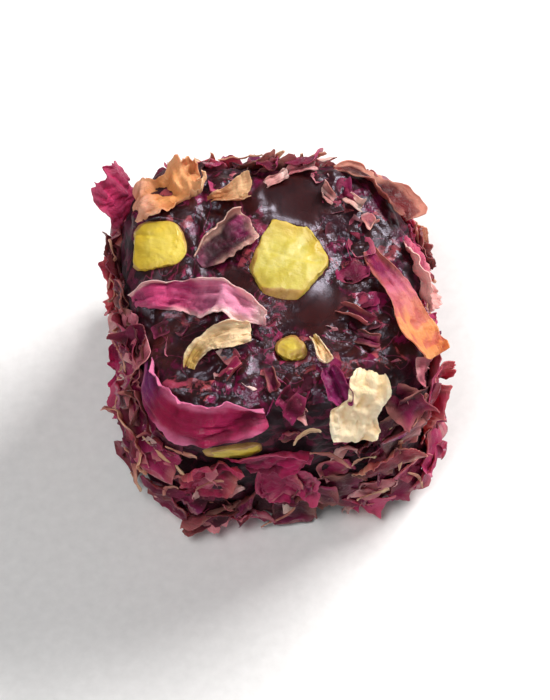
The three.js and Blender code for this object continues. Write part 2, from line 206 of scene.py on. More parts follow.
def newGroup(name, kind, inputs, outputs):
    tree = bpy.data.node_groups.new(name, kind)
    sockets = [("INPUT", *row) for row in inputs] + [("OUTPUT", *row, None) for row in outputs]
    for end, label, sort, value in sockets:
        kindOf = "NodeSocket" + socketKinds[sort]
        socket = tree.interface.new_socket(label, in_out=end, socket_type=kindOf)
        if value is not None:
            socket.default_value = value
    return tree, tree.nodes.new("NodeGroupInput").outputs, tree.nodes.new("NodeGroupOutput")


def useGroup(tree, group, inputs):
    return addNode(tree, "ShaderNodeGroup", inputs, node_tree=group).outputs


def newMaterial(name):
    material = bpy.data.materials.new(name)
    material.use_nodes = True
    tree = material.node_tree
    where = addNode(tree, "ShaderNodeTexCoord").outputs["Object"]
    return material, tree, tree.nodes["Principled BSDF"], where


# Sticky syrup that lies in patches on whatever it touched
def syrupGroup():
    tree, given, out = newGroup(
        "syrupFilm", "ShaderNodeTree",
        [("Place", "place", None), ("Scale", "value", 260.0), ("Cover", "value", 0.5)],
        [("Film", "value")],
    )
    patches = cloud(tree, given["Place"], given["Scale"], 3.0, 0.6, 0.4)
    bare = calc(tree, "SUBTRACT", 1.0, given["Cover"])
    film = remap(tree, patches, calc(tree, "SUBTRACT", bare, 0.08), calc(tree, "ADD", bare, 0.08))
    feed(tree, out, {"Film": film})
    return tree


# Dry, papery wrinkles: fine creases over a slower buckle
def wrinkleGroup():
    tree, given, out = newGroup(
        "dryWrinkles", "ShaderNodeTree",
        [("Place", "place", None), ("Scale", "value", 900.0), ("Crease", "value", 0.5)],
        [("Height", "value")],
    )
    buckle = cloud(tree, given["Place"], given["Scale"], 5.0, 0.6, 0.8)
    folded = calc(tree, "ABSOLUTE", calc(tree, "SUBTRACT", buckle, 0.5))
    creases = remap(tree, folded, 0.0, 0.09, 1.0, 0.0)
    height = calc(tree, "SUBTRACT", buckle, calc(tree, "MULTIPLY", creases, given["Crease"]))
    feed(tree, out, {"Height": height})
    return tree


readings = ("along", "across", "rim", "fold", "under")  # what a petal's mesh tells its material
marksAndShade = {  # how far each one changes the colour
    "veins": 0.22,
    # painted shade in the hollows of the folds
    "hollowShade": 0.6,
    "patches": 0.42,
    "underside": 0.15,
}


# The colour of a dried petal from its claw to its lip, with veins that fan out, a paler torn rim that is
# partly painted highlight, painted shade in the hollows and painted highlight on raised folds
def petalToneGroup():
    inputs = [("Place", "place", None)]
    inputs += [(key.title(), "value", 0.0) for key in readings]
    inputs += [(label, "colour", None) for label in ("Claw", "Middle", "Lip", "Edge", "Dark")]
    inputs += [("Claw End", "value", 0.12), ("Lip Start", "value", 0.5), ("Dryness", "value", 0.45)]
    outputs = [("Colour", "colour"), ("Height", "value")]
    tree, given, out = newGroup("petalTone", "ShaderNodeTree", inputs, outputs)
    mottle = cloud(tree, given["Place"], 520.0, 4.0, 0.6, 0.3)
    swing = calc(tree, "MULTIPLY_ADD", mottle, 0.35, -0.175)
    along = calc(tree, "ADD", given["Along"], swing)
    clawLow = calc(tree, "SUBTRACT", given["Claw End"], 0.12)
    clawed = remap(tree, along, clawLow, calc(tree, "ADD", given["Claw End"], 0.14))
    colour = blend(tree, clawed, given["Claw"], given["Middle"])
    lipEnd = calc(tree, "ADD", given["Lip Start"], 0.4)
    lipShare = remap(tree, along, given["Lip Start"], lipEnd)
    colour = blend(tree, lipShare, colour, given["Lip"])
    # veins fan out because Across is a share of the petal's width
    fan = wire(tree, "ShaderNodeCombineXYZ", {
        0: calc(tree, "MULTIPLY", given["Across"], 9.0),
        1: calc(tree, "MULTIPLY", given["Along"], 2.0),
        2: calc(tree, "MULTIPLY", mottle, 0.9),
    })
    veins = cloud(tree, fan, 1.6, 3.0, 0.65)
    colour = blend(tree, remap(tree, veins, 0.38, 0.7), colour, given["Dark"], marksAndShade["veins"])
    # raised folds get a painted highlight in the lip colour, hollows get painted shade in the dark colour
    colour = blend(tree, remap(tree, given["Fold"], 0.5, 0.1, 0.0, marksAndShade["hollowShade"]), colour, given["Dark"])
    foldHighlight = remap(tree, given["Fold"], 0.62, 0.95)
    foldHighlight = calc(tree, "MULTIPLY", foldHighlight, remap(tree, lipShare, 0.0, 1.0, 0.15, 0.5))
    colour = blend(tree, foldHighlight, colour, given["Lip"])
    patch = remap(tree, cloud(tree, given["Place"], 240.0, 3.0, 0.6), 0.5, 0.72)
    colour = blend(tree, patch, colour, given["Dark"], marksAndShade["patches"])
    torn = calc(tree, "ADD", given["Rim"], calc(tree, "MULTIPLY_ADD", mottle, 0.5, -0.25))
    paleRim = remap(tree, cloud(tree, given["Place"], 200.0, 2.0, 0.5), 0.42, 0.62)
    torn = calc(tree, "MULTIPLY_ADD", paleRim, 0.2, torn)
    # a rolled hem, where the rim value passes 1, is always pale; this pale edge is partly painted highlight
    # along the roll
    hem = remap(tree, given["Rim"], 0.95, 1.3)
    paleRim = calc(tree, "MAXIMUM", calc(tree, "MULTIPLY_ADD", paleRim, 0.9, 0.1), hem)
    # pale edge colour: dried, faded rims, partly painted highlight where edges fold and roll
    paleEdge = calc(tree, "MULTIPLY", remap(tree, torn, 0.6, 1.25), paleRim)
    colour = blend(tree, paleEdge, colour, given["Edge"], given["Dryness"])
    colour = blend(tree, given["Under"], colour, given["Edge"], marksAndShade["underside"])
    feed(tree, out, {"Colour": colour, "Height": veins})
    return tree


def readPetal(tree, where):
    return {"Place": where, **{key.title(): attribute(tree, key) for key in readings}}


syrupFilm = syrupGroup()
dryWrinkles = wrinkleGroup()
petalTone = petalToneGroup()


# Skin of the jelly, the same for every piece that lies on it

skin = {
    "halfWidth": 14.6,
    "halfDepth": 14.2,
    "halfHeight": 14.0,
    "height": 27.0,
    "outlinePower": 3.8,  # plan outline: 2 is round, 10 is nearly square
    "edgePower": 6.5,  # rounding of the rim and the foot
}
swellings = np.array([  # reach, waves along x, y and z, phase
    (0.42, 0.23, 0.11, 0.07, 0.6),
    (0.34, -0.13, 0.27, 0.12, 2.1),
    (0.24, 0.35, -0.21, 0.31, 4.0),
    (0.20, 0.16, 0.44, -0.38, 1.2),
    (0.13, 0.66, 0.31, 0.52, 5.1),
    (0.11, -0.48, 0.71, 0.37, 3.3),
])
middle = np.array((0.0, 0.0, skin["height"] - skin["halfHeight"]))


def unit(vectors):
    return vectors / np.maximum(np.linalg.norm(vectors, axis=-1, keepdims=True), 1e-9)


def skinDistance(direction):
    plan = (np.abs(direction[:, 0] / skin["halfWidth"]) ** skin["outlinePower"]
            + np.abs(direction[:, 1] / skin["halfDepth"]) ** skin["outlinePower"])
    upright = np.abs(direction[:, 2] / skin["halfHeight"]) ** skin["edgePower"]
    smooth = (plan ** (skin["edgePower"] / skin["outlinePower"]) + upright) ** (-1 / skin["edgePower"])
    points = direction * smooth[:, None]
    waves = np.sin(points @ swellings[:, 1:4].T + swellings[:, 4])
    return smooth + waves @ swellings[:, 0]


def onSkin(points, proud=0.0):
    direction = unit(points - middle)
    return middle + direction * (skinDistance(direction) + proud)[:, None]


def skinNormal(points, step=0.4):
    out = unit(points - middle)
    side = np.cross((0.0, 0.0, 1.0), out)
    side[np.linalg.norm(side, axis=1) < 0.1] = (1.0, 0.0, 0.0)
    side = unit(side)
    up = np.cross(out, side)
    alongSide = onSkin(points + side * step) - onSkin(points - side * step)
    alongUp = onSkin(points + up * step) - onSkin(points - up * step)
    return unit(np.cross(alongSide, alongUp))


def noiseAt(points, scale, octaves=1, shift=0.0):
    offset = Vector((shift, shift * 1.7, -shift))
    if octaves == 1:
        return np.array([noise.noise(Vector(p) * scale + offset) for p in points])
    return np.array([noise.fractal(Vector(p) * scale + offset, 1.0, 2.0, octaves) for p in points])


def easeStep(values, low, high):
    share = np.clip((values - low) / (high - low), 0, 1)
    return share * share * (3 - 2 * share)


def writeMesh(name, points, faces, values=None, sharp=None):
    mesh = bpy.data.meshes.new(name)
    mesh.from_pydata((np.asarray(points) * mm).tolist(), [], [list(map(int, f)) for f in faces])
    for key, array in (values or {}).items():
        mesh.attributes.new(key, "FLOAT", "POINT").data.foreach_set("value", np.asarray(array, np.float32))
    mesh.polygons.foreach_set("use_smooth", [True] * len(mesh.polygons))
    if sharp:
        mesh.set_sharp_from_angle(angle=math.radians(sharp))
    mesh.update()
    return mesh


def addPiece(name, mesh, material, slot, *nodes):
    piece = intoScene(name, mesh)
    mesh.materials.clear()
    mesh.materials.append(material)
    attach(piece, "root")
    if nodes:
        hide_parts(*nodes)
    return piece


# Points and faces of a bmesh, which is then let go
def takeFrom(solid):
    points = np.array([v.co[:] for v in solid.verts])
    faces = [[v.index for v in f.verts] for f in solid.faces]
    solid.free()
    return points, faces


def ball(fineness):
    solid = bmesh.new()
    bmesh.ops.create_icosphere(solid, subdivisions=fineness, radius=1.0)
    return takeFrom(solid)


def griddedCube(cells):
    solid = bmesh.new()
    bmesh.ops.create_cube(solid, size=2.0)
    bmesh.ops.subdivide_edges(solid, edges=solid.edges[:], cuts=cells - 1, use_grid_fill=True)
    points, faces = takeFrom(solid)
    points = points * (skin["halfWidth"], skin["halfDepth"], skin["halfHeight"])
    return onSkin(points + middle), faces


# Petals that can be told apart, each along its own spine: claw, middle, lip

plainPetal = {
    "claw": 0.35, "point": 0.9, "waist": 0.0, "waistAt": 0.48, "taper": 0.0, "lift": 0.42, "rise": 0.3,
    "cup": 0.3, "wave": 0.2, "folds": 1.5, "loose": 0.0, "phase": 0.0,
    "pleats": 0.75, "curl": 0.7, "hem": 0.0, "tear": 0.14, "round": 0.0,
    "sides": None,  # or the reach of the left and the right edge, at even steps from claw to lip
    "tone": "rose",
}
sheetOf = {
    "cells": (56, 26),
    "thickness": 0.1,
    "foot": 0.7,  # petals end this far above the table
    "bluntEnd": 0.7,  # and are nowhere narrower than this
}
crumple = {
    "tears": 1.6,  # slow tears of the edge
    "frays": 0.7,  # fine ones
    "notches": 5,  # tears of the lip
    "rollHigh": 1.4,  # how far a rolled edge stands up
    "rollIn": 0.4,  # and how much narrower it makes the petal
    "pleats": 0.42,
    "creases": 0.42,
    "crinkle": 0.16,
    "slide": 0.3,
}
topPetals = {
    "petal_wavy": {
        "spine": ((-14, 1.4, 25), (-7.6, 0.3, 27), (-1.4, -3.3, 27.4)),
        "width": 4.8, "taper": 0.3, "wave": 0.8, "folds": 3.8, "tone": "rosePink", "pleats": 0.9, "hem": 0.5,
        "sides": ((0.8, 1.5, 1.8, 2.0, 2.2, 2.0, 0.7), (0.8, 1.6, 1.4, 1.4, 2.0, 1.5, 0.5)),
    },
    "petal_swirl": {
        "spine": ((-7.0, 3.8, 27), (-4.2, 5.4, 27), (-1.4, 6.8, 27)),
        "width": 4.6, "point": 0.6, "cup": 0.8, "folds": 1, "tone": "dusk", "curl": 1.3, "hem": 0.9,
    },
    "calyx_scrap": {
        "spine": ((-12.2, 10.2, 25.6), (-8.6, 11.0, 26.4), (-5.0, 12.0, 26.4)),
        "width": 4.8, "claw": 0.6, "rise": 0.5, "cup": 0.8, "wave": 0.6, "folds": 3, "tone": "calyx",
        "pleats": 1.2, "tear": 0.35, "curl": 1.0,
    },
    "claw_point": {
        "spine": ((-5.2, 10.3, 27), (-3.1, 10.1, 27), (-0.9, 10.0, 27)),
        "width": 3.1, "claw": 0.22, "point": 0.3, "taper": -0.15, "rise": 0.8, "tone": "tan", "curl": 0.4,
        "sides": ((0.35, 0.5, 0.75, 1.0, 1.3, 1.55, 1.5), (0.35, 0.5, 0.75, 1.05, 1.4, 1.7, 1.6)),
    },
    "claw_crescent": {
        "spine": ((-9.4, -7.2, 26.5), (-7.2, -5.1, 26.8), (-3.2, -4.8, 27.2)),
        "width": 2.2, "claw": 0.7, "cup": 0.5, "wave": 0.35, "folds": 1, "tone": "creamGreen",
        "sides": ((0.6, 0.7, 0.9, 0.95, 1.1, 1.25, 0.8), (0.6, 0.75, 0.7, 0.8, 1.1, 1.45, 1.2)),
    },
    "claw_sliver": {
        "spine": ((2.9, -5.6, 27.2), (3.5, -7.1, 27.2), (4.3, -8.6, 27.2)),
        "width": 1.5, "claw": 0.6, "cup": 0.2, "tone": "creamGreen", "curl": 0.9, "hem": -0.8, "tear": 0.08,
        "sides": ((0.4, 0.4, 0.5, 0.8, 1.2, 1.3, 0.9), (0.4, 0.45, 0.45, 0.5, 0.5, 0.45, 0.4)),
    },
    "petal_dusk": {
        "spine": ((3.9, -8.8, 27), (4.4, -10.4, 26.6), (5.0, -12.2, 25.6)),
        "width": 3.0, "cup": 0.4, "tone": "plum",
    },
    "claw_flake": {
        "spine": ((8.1, -9.6, 26.8), (6.9, -12.7, 26.0), (5.3, -15.5, 23.0)),
        "width": 5.8, "claw": 0.62, "point": 0.45, "waist": 0.3, "waistAt": 0.42, "wave": 0.35, "folds": 2.4,
        "loose": 0.5, "tone": "cream", "tear": 0.12, "curl": 0.1, "pleats": 0.8, "round": 0.1,
        "sides": ((1.3, 1.5, 1.45, 1.45, 3.0, 2.5, 1.7), (1.3, 2.2, 2.7, 2.4, 2.1, 2.9, 2.8)),
    },
    "petal_draped": {
        "spine": ((-13.4, -5.0, 24.8), (-10.2, -11.2, 25.2), (-2.9, -12.7, 26.2)),
        "width": 3.5, "point": 0.6, "cup": 0.8, "wave": 0.6, "folds": 1.6, "tone": "crimson", "hem": 0.9,
        "sides": ((0.7, 1.4, 1.8, 1.8, 1.5, 1.2, 0.9), (0.7, 1.4, 1.75, 1.75, 1.65, 1.5, 1.2)),
    },
    "petal_front": {
        "spine": ((-7.4, -14.2, 17.4), (-3.2, -15, 18.4), (1.8, -14.4, 17.4)),
        "width": 5.8, "wave": 0.4, "folds": 2, "tone": "magenta",
    },
    "petal_tip": {
        "spine": ((10.0, 3.0, 26.4), (11.9, -3.2, 26.3), (14.1, -9.3, 25.5)),
        "width": 3.4, "claw": 0.5, "point": 0.15, "taper": -0.4, "rise": 0.4, "cup": 0.7, "wave": 0.3,
        "loose": 0.8, "tone": "orangeTip", "curl": 0.3, "tear": 0.03, "pleats": 0.45,
        "sides": ((0.7, 1.0, 1.2, 1.5, 2.0, 2.4, 2.4), (0.7, 1.0, 1.2, 1.5, 2.0, 2.4, 2.3)),
    },
    "petal_rim_right": {
        "spine": ((14.4, 5.0, 24), (14.9, 1.0, 24.4), (15.0, -3.2, 23.4)),
        "width": 4.8, "cup": 0.8, "wave": 0.3, "folds": 2.6, "tone": "blush", "pleats": 1.0,
    },
    "petal_rim_back": {
        "spine": ((7.8, 12.6, 25.4), (11.8, 11.0, 25.2), (14.0, 6.6, 24.8)),
        "width": 3.6, "point": 0.6, "cup": 0.7, "wave": 0.35, "folds": 2.4, "tone": "russet", "hem": 0.4,
    },
    "petal_corner": {
        "spine": ((-12.2, 12.2, 20), (-13.8, 13.6, 23.8), (-15.2, 14.6, 27.2)),
        "width": 5.6, "rise": 0.6, "cup": 0.8, "loose": 0.7, "tone": "magenta",
    },
}
walls = {"front": -90, "right": 0, "back": 90, "left": 180}
wallRow = {"spacing": 8.8, "low": 12, "high": 13.5, "length": (8.5, 11), "width": (6, 8)}


# The small generator that also draws the solids, so that both place the same petals
def seeded(state):
    def draw(low, high):
        nonlocal state
        state = (state * 1664525 + 1013904223) % 2 ** 32
        return low + (high - low) * state / 2 ** 32
    return draw


def spineAt(point, along, length):
    reach = unit(along) * length / 2
    return point - reach, point, point + reach


def wallPetals():
    draw = seeded(25)
    rows = {}
    for wall, degrees in walls.items():
        angle = math.radians(degrees)
        outward = np.array((math.cos(angle), math.sin(angle), 0.0))
        sideways = np.array((-math.sin(angle), math.cos(angle), 0.0))
        for i in range(3):
            point = outward * skin["halfWidth"] + sideways * ((i - 1) * wallRow["spacing"] + draw(-0.8, 0.8))
            point[2] = wallRow["low"] if i % 2 else wallRow["high"]
            along = sideways * draw(-0.5, 0.5)
            along[2] = -1 if i % 2 else 1
            rows[f"petal_{wall}_{i + 1}"] = {
                "spine": spineAt(point, along, draw(*wallRow["length"])),
                "width": draw(*wallRow["width"]),
                "rise": draw(0.4, 1.3),
                "cup": draw(0.4, 1.0),
                "wave": draw(0.25, 0.55),
                "folds": draw(1, 3),
                "phase": draw(0, 6),
                "point": draw(0.3, 0.9),
                "tone": ("rose", "magenta", "tanEdge")[i],
            }
    return rows


def petalWidth(t, petal):
    opened = petal["claw"] + (1 - petal["claw"]) * np.sin(np.minimum(1, t / 0.6) * math.pi / 2)
    lip = np.sqrt(1 - petal["point"] * t ** 7)
    torn = 1 + 0.12 * np.sin(8 * t + petal["phase"])
    waist = 1 - petal["waist"] * np.exp(-(((t - petal["waistAt"]) / 0.16) ** 2)) - petal["taper"] * t * t
    return np.maximum(sheetOf["bluntEnd"] / petal["width"], opened * lip * torn * waist)


def evenGrid(cells):
    t = np.repeat(np.linspace(0, 1, cells[0] + 1), cells[1] + 1)
    return t, np.tile(np.linspace(-1, 1, cells[1] + 1), cells[0] + 1)


# Rows close up towards the lip and columns towards the edges, where petals curl
def fineGrid(cells):
    t, y = evenGrid(cells)
    return 1 - (1 - t) ** 1.25, np.sin(y * math.pi / 2)


def ridged(points, scale, octaves):
    return 1 - 2.6 * np.abs(noiseAt(points, scale, octaves))


# Columns side by side, where a single number stands for a whole column
def beside(t, *parts):
    return np.stack([part + t * 0 for part in parts], axis=1)


def petalSheet(petal, grid, seed=None):
    start, via, end = (np.array(p, float) for p in petal["spine"])
    pull = 2 * via - 0.5 * start - 0.5 * end
    t, y = grid
    s = t[:, None]
    centre = start * (1 - s) ** 2 + pull * 2 * s * (1 - s) + end * s ** 2
    tangent = 2 * (1 - s) * (pull - start) + 2 * s * (end - pull)
    out = skinNormal(centre)
    along = unit(tangent - out * np.sum(tangent * out, axis=1, keepdims=True))
    width = petalWidth(t, petal)
    across = y * width
    half = width * petal["width"] / 2
    length = np.linalg.norm(end - start)
    lift = petal["lift"] + petal["rise"] * t * t + petal["cup"] * across * across * (0.4 + t)
    ripple = 1 + np.sin(petal["folds"] * t * math.pi + petal["phase"] + 1.3 * across)
    lift = lift + petal["wave"] * ripple * (0.2 + 0.6 * t)
    fold, rolled = np.full(len(t), 0.5), np.zeros(len(t))
    if seed is not None:
        # torn, rolled edges
        torn = noiseAt(beside(t, t * length * 0.32, np.sign(y) * 4, seed), 1.0, 2)
        frayed = noiseAt(beside(t, t * length * 1.2, np.sign(y) * 4, seed), 1.0, 3)
        roll = noiseAt(beside(t, t * length * 0.25, y, seed * 2), 1.0, 1)
        roll = np.clip(0.35 + petal["hem"] * np.sign(y) + 1.5 * roll, 0, 1)
        rolled = 0.8 * roll * np.abs(y) ** 2 * (0.2 + abs(petal["hem"]))
        roll = roll * np.abs(y) ** 4 * petal["curl"]
        edge = petal["tear"] * (crumple["tears"] * torn + crumple["frays"] * frayed) * np.abs(y) ** 3
        if petal["sides"]:
            marks = np.linspace(0, 1, len(petal["sides"][0]))
            left, right = (np.interp(t, marks, side) for side in petal["sides"])
            half = np.where(y < 0, left, right)
        clawEnd = 1 - petal["round"] * (1 - easeStep(t, 0, 0.16))
        lipEnd = 1 - petal["round"] * easeStep(t, 0.88, 1)
        half = half * (1 + edge - crumple["rollIn"] * roll) * clawEnd * lipEnd
        notch = noiseAt(beside(t, y * half * 0.5, 8, seed), 1.0, 3)
        notch = petal["tear"] * crumple["notches"] * notch * easeStep(t, 0.7, 1)
        centre = centre + along * notch[:, None]
        # long pleats from the claw to the lip, with creases across them
        flat = beside(t, t * length, y * half, seed * 3.7)
        fanned = across * 2.3 + 0.6 * noiseAt(flat, 0.3)
        pleats = ridged(beside(t, t * length * 0.2, fanned, seed * 2.3), 1.0, 2)
        relief = crumple["pleats"] * pleats + crumple["creases"] * ridged(flat, 0.4, 3)
        relief = relief + crumple["crinkle"] * ridged(flat, 1.1, 2)
        # fold follows the relief; the material paints shade in its hollows and highlight on its ridges
        fold = np.clip(relief * 0.85 + 0.15, 0, 1)
        lift = lift + petal["pleats"] * (relief - 0.5) * (0.45 + 0.55 * t)
        lift = lift + crumple["rollHigh"] * roll * (0.35 + 0.65 * t) - 0.35 * (1 - easeStep(t, 0, 0.2))
        slide = crumple["slide"] * petal["pleats"] * noiseAt(flat, 0.5, 2, 31.0)
        centre = centre + along * slide[:, None]
    free = centre + np.cross(out, along) * (y * half)[:, None]
    loose = (petal["loose"] * t * t)[:, None]
    laid = onSkin(free) * (1 - loose) + free * loose
    rootOut = skinNormal(start[None])[0]
    turned = (petal["loose"] * t)[:, None]
    facing = unit(skinNormal(laid) * (1 - turned) + rootOut * turned)
    laid = laid + facing * np.maximum(lift, min(petal["lift"], 0.02))[:, None]
    laid[:, 2] = np.maximum(laid[:, 2], sheetOf["foot"])
    return laid, facing, fold, rolled


def thicken(centre, facing, thickness, rows, columns):
    points = np.concatenate([centre + facing * thickness / 2, centre - facing * thickness / 2])
    count = rows * columns
    grid = np.arange(count).reshape(rows, columns)
    top = np.stack([grid[:-1, :-1], grid[1:, :-1], grid[1:, 1:], grid[:-1, 1:]], axis=-1).reshape(-1, 4)
    edge = np.concatenate([grid[:-1, 0], grid[-1, :-1], grid[:0:-1, -1], grid[0, :0:-1]])
    after = np.roll(edge, -1)
    rim = np.stack([edge, edge + count, after + count, after], axis=-1)
    return points, np.concatenate([top, top[:, ::-1] + count, rim])


def sheetNormals(points, rows, columns):
    grid = points.reshape(rows, columns, 3)
    return unit(np.cross(np.gradient(grid, axis=0), np.gradient(grid, axis=1))).reshape(-1, 3)


petals = {name: {**plainPetal, **shape} for name, shape in {**topPetals, **wallPetals()}.items()}


# What the material reads, for the upper and then the lower side of a sheet
def petalValues(t, y, fold, rolled=0.0):
    rim = np.maximum(np.abs(y), np.clip((t - 0.75) / 0.25, 0, 1)) + rolled
    values = {key: np.tile(array, 2) for key, array in zip(readings, (t, y, rim, fold))}
    return {**values, "under": np.concatenate([t * 0, t * 0 + 1])}


# A crumpled petal as points, faces and the values its material reads
def petalParts(petal, cells, seed):
    t, y = fineGrid(cells)
    rows, columns = (c + 1 for c in cells)
    laid, facing, fold, rolled = petalSheet(petal, (t, y), seed)
    facing = sheetNormals(laid, rows, columns)
    points, faces = thicken(laid, facing, sheetOf["thickness"], rows, columns)
    return points, faces, petalValues(t, y, fold, rolled)


petalTones = {  # claw, middle, lip, edge, dark, where the claw colour ends and the lip starts, share of pale edge (dried rims, partly painted highlight)
    "rose": ("a04058", "98083e", "bc1c58", "e08c80", "30020f", 0.12, 0.5, 0.5),
    "magenta": ("7c184c", "880440", "b01c58", "dc6c8c", "340018", 0.06, 0.45, 0.4),
    "crimson": ("702060", "90083c", "a81850", "e47ca4", "400018", 0.25, 0.45, 0.75),
    "rosePink": ("b04c70", "bc3c6c", "dc88a4", "fcd0c8", "6c1444", 0.05, 0.35, 0.8),
    "blush": ("a8205c", "bc4868", "ecaaa4", "fad0c0", "5c1028", 0.05, 0.3, 0.6),
    "plum": ("701048", "781450", "8c2860", "b86078", "34061c", 0.1, 0.45, 0.3),
    "dusk": ("905068", "402028", "983064", "f0bcac", "180810", 0.12, 0.6, 0.95),
    "tanEdge": ("a85040", "6c1028", "9c3044", "f0b894", "260610", 0.1, 0.5, 0.85),
    "russet": ("7c3430", "481014", "641c20", "dc9884", "240406", 0.1, 0.5, 0.8),
    "orangeTip": ("740c44", "c0627c", "dc8c54", "ecb878", "a84450", 0.3, 0.36, 0.2),
    "cream": ("fcdcb6", "ffdcb6", "ffe0bc", "fff0dc", "f4c48c", 0.3, 0.5, 0.5),
    "creamGreen": ("b8944c", "e4bc8c", "f0caa0", "f8e0c4", "946c3c", 0.35, 0.5, 0.5),
    "tan": ("a86840", "ba8056", "d4a67c", "f4c8a0", "8c5028", 0.2, 0.4, 0.5),
    "calyx": ("eca488", "de9258", "eaa674", "f6cca8", "b46c3c", 0.3, 0.5, 0.5),
}


dryGloss = (0.6, 0.34)  # roughness where dry and where syrup lies
petalGloss = {"dusk": (0.4, 0.2), "russet": (0.45, 0.3)}
petalSlots = {"cream": "pale_petal", "creamGreen": "pale_petal", "tan": "pale_petal", "calyx": "calyx"}


def finishPetal(tree, shader, where, toned, gloss=dryGloss):
    film = useGroup(tree, syrupFilm, {"Place": where, "Scale": 340.0, "Cover": 0.45})
    wrinkles = useGroup(tree, dryWrinkles, {"Place": where, "Scale": 900.0, "Crease": 0.4})
    normal = bump(tree, toned["Height"], 0.22, 0.0003)
    normal = bump(tree, wrinkles["Height"], 0.4, 0.0003, normal)
    feed(tree, shader, {
        "Base Color": toned["Colour"], "Roughness": remap(tree, film["Film"], 0.0, 1.0, *gloss),
        "Normal": normal, "IOR": 1.3,
        "Subsurface Weight": 0.25, "Subsurface Radius": (1.0, 0.3, 0.4), "Subsurface Scale": 0.0006,
    })


def petalMaterial(name, tone):
    material, tree, shader, where = newMaterial("petal" + name[0].upper() + name[1:])
    claw, body, lip, edge, dark, clawEnd, lipStart, paleEdgeShare = tone
    toned = useGroup(tree, petalTone, {
        **readPetal(tree, where), "Claw": tint(claw), "Middle": tint(body), "Lip": tint(lip),
        "Edge": tint(edge), "Dark": tint(dark),
        "Claw End": clawEnd, "Lip Start": lipStart, "Dryness": paleEdgeShare,
    })
    finishPetal(tree, shader, where, toned, petalGloss.get(name, dryGloss))
    return material


def makePetals():
    materials = {name: petalMaterial(name, tone) for name, tone in petalTones.items()}
    for i, (name, petal) in enumerate(petals.items()):
        mesh = writeMesh("dried_" + name, *petalParts(petal, sheetOf["cells"], i * 1.9), 60)
        tone = petal["tone"]
        addPiece("dried_" + name, mesh, materials[tone], petalSlots.get(tone, "petal"), name)
    print("petals:", len(petals))


# Pistachio kernels, chipped along flat faces and cut where the knife went

kernelCut = {
    "proud": 0.3,  # the cut stands this far out of the jelly
    "swell": 1.03,
    "faces": 9,  # flat faces round a kernel that isn't chipped
    "buckle": 0.26,  # slow and fine unevenness of the chips
    "grit": 0.12,
    "dome": 0.4,
    "facets": 0.6,
    "seam": 0.16,
    "skin": 0.55,  # depth to which skin clings round the cut of a whole kernel
}
kernels = {
    "kernel_top": {
        "centre": (1.8, 2.2, 22.6), "half": (5.6, 7.0, 6.4), "turn": -15, "tilt": 8,
        "chips": (
            (-8, 3.7), (-45, 3.0), (-83, 4.2), (-123, 4.5), (-164, 3.7), (146, 3.4), (72, 4.0), (26, 3.5),
        ),
        "ripe": 0.0, "smeared": 0.0,
    },
    "kernel_left": {
        "centre": (-10.3, 6.4, 23.2), "half": (3.5, 3.5, 5.2), "turn": 0, "tilt": 6,
        "chips": ((-8, 2.6), (82, 2.5), (172, 2.6), (-98, 2.5)),
        "ripe": 0.9, "smeared": 0.0,
    },
    "kernel_chip": {
        "centre": (0.6, -6.6, 24.8), "half": (2.4, 2.2, 3.4), "turn": 30, "tilt": 10,
        "chips": ((30, 1.2), (-95, 1.3), (160, 1.3)),
        "nicks": ((222, 0.95), (95, 1.15)),  # small breaks that take little off
        # a thick smear here partly paints the shade the chip lies in
        "smeared": 0.6,
    },
    "kernel_front": {"centre": (-6.0, -12.1, 20.4), "half": (3.0, 3.6, 2.4), "turn": 8, "tilt": 0},
    "kernel_right": {"centre": (12.2, -4.4, 12.6), "half": (3.7, 3.9, 3.0), "turn": 25, "tilt": 12},
    "kernel_back": {"centre": (4.6, 12.0, 9.4), "half": (4.0, 3.6, 3.4), "turn": -12, "tilt": 18},
    "kernel_wall": {"centre": (-12.4, -4.6, 7.6), "half": (3.6, 4.2, 2.9), "turn": 12, "tilt": -10},
    "kernel_base": {"centre": (6.4, 5.2, 2.2), "half": (3.8, 3.0, 3.6), "turn": 35, "tilt": 0},
    "kernel_under": {"centre": (-6.8, -5.6, 1.6), "half": (3.0, 3.9, 3.0), "turn": 10, "tilt": 0},
}


def turnOf(kernel):
    angles = (math.radians(kernel["tilt"]), 0, math.radians(kernel["turn"]))
    return np.array(Euler(angles, "XYZ").to_matrix())


# Upright faces where the kernel broke: which way each faces, and its distance from the centre
def chipFaces(kernel, kinds=("chips",)):
    for facing, reach in sum((kernel.get(kind, ()) for kind in kinds), ()):
        angle = math.radians(facing)
        yield np.array((math.cos(angle), math.sin(angle), 0.0)), reach


# Distance outside a kernel, below zero inside it
def kernelReach(points, kernel):
    local = (points - kernel["centre"]) @ turnOf(kernel) / kernel["half"]
    outside = (np.linalg.norm(local, axis=1) - 1) * np.mean(kernel["half"])
    for away, reach in chipFaces(kernel):
        outside = np.maximum(outside, (points - kernel["centre"]) @ away - reach)
    return outside


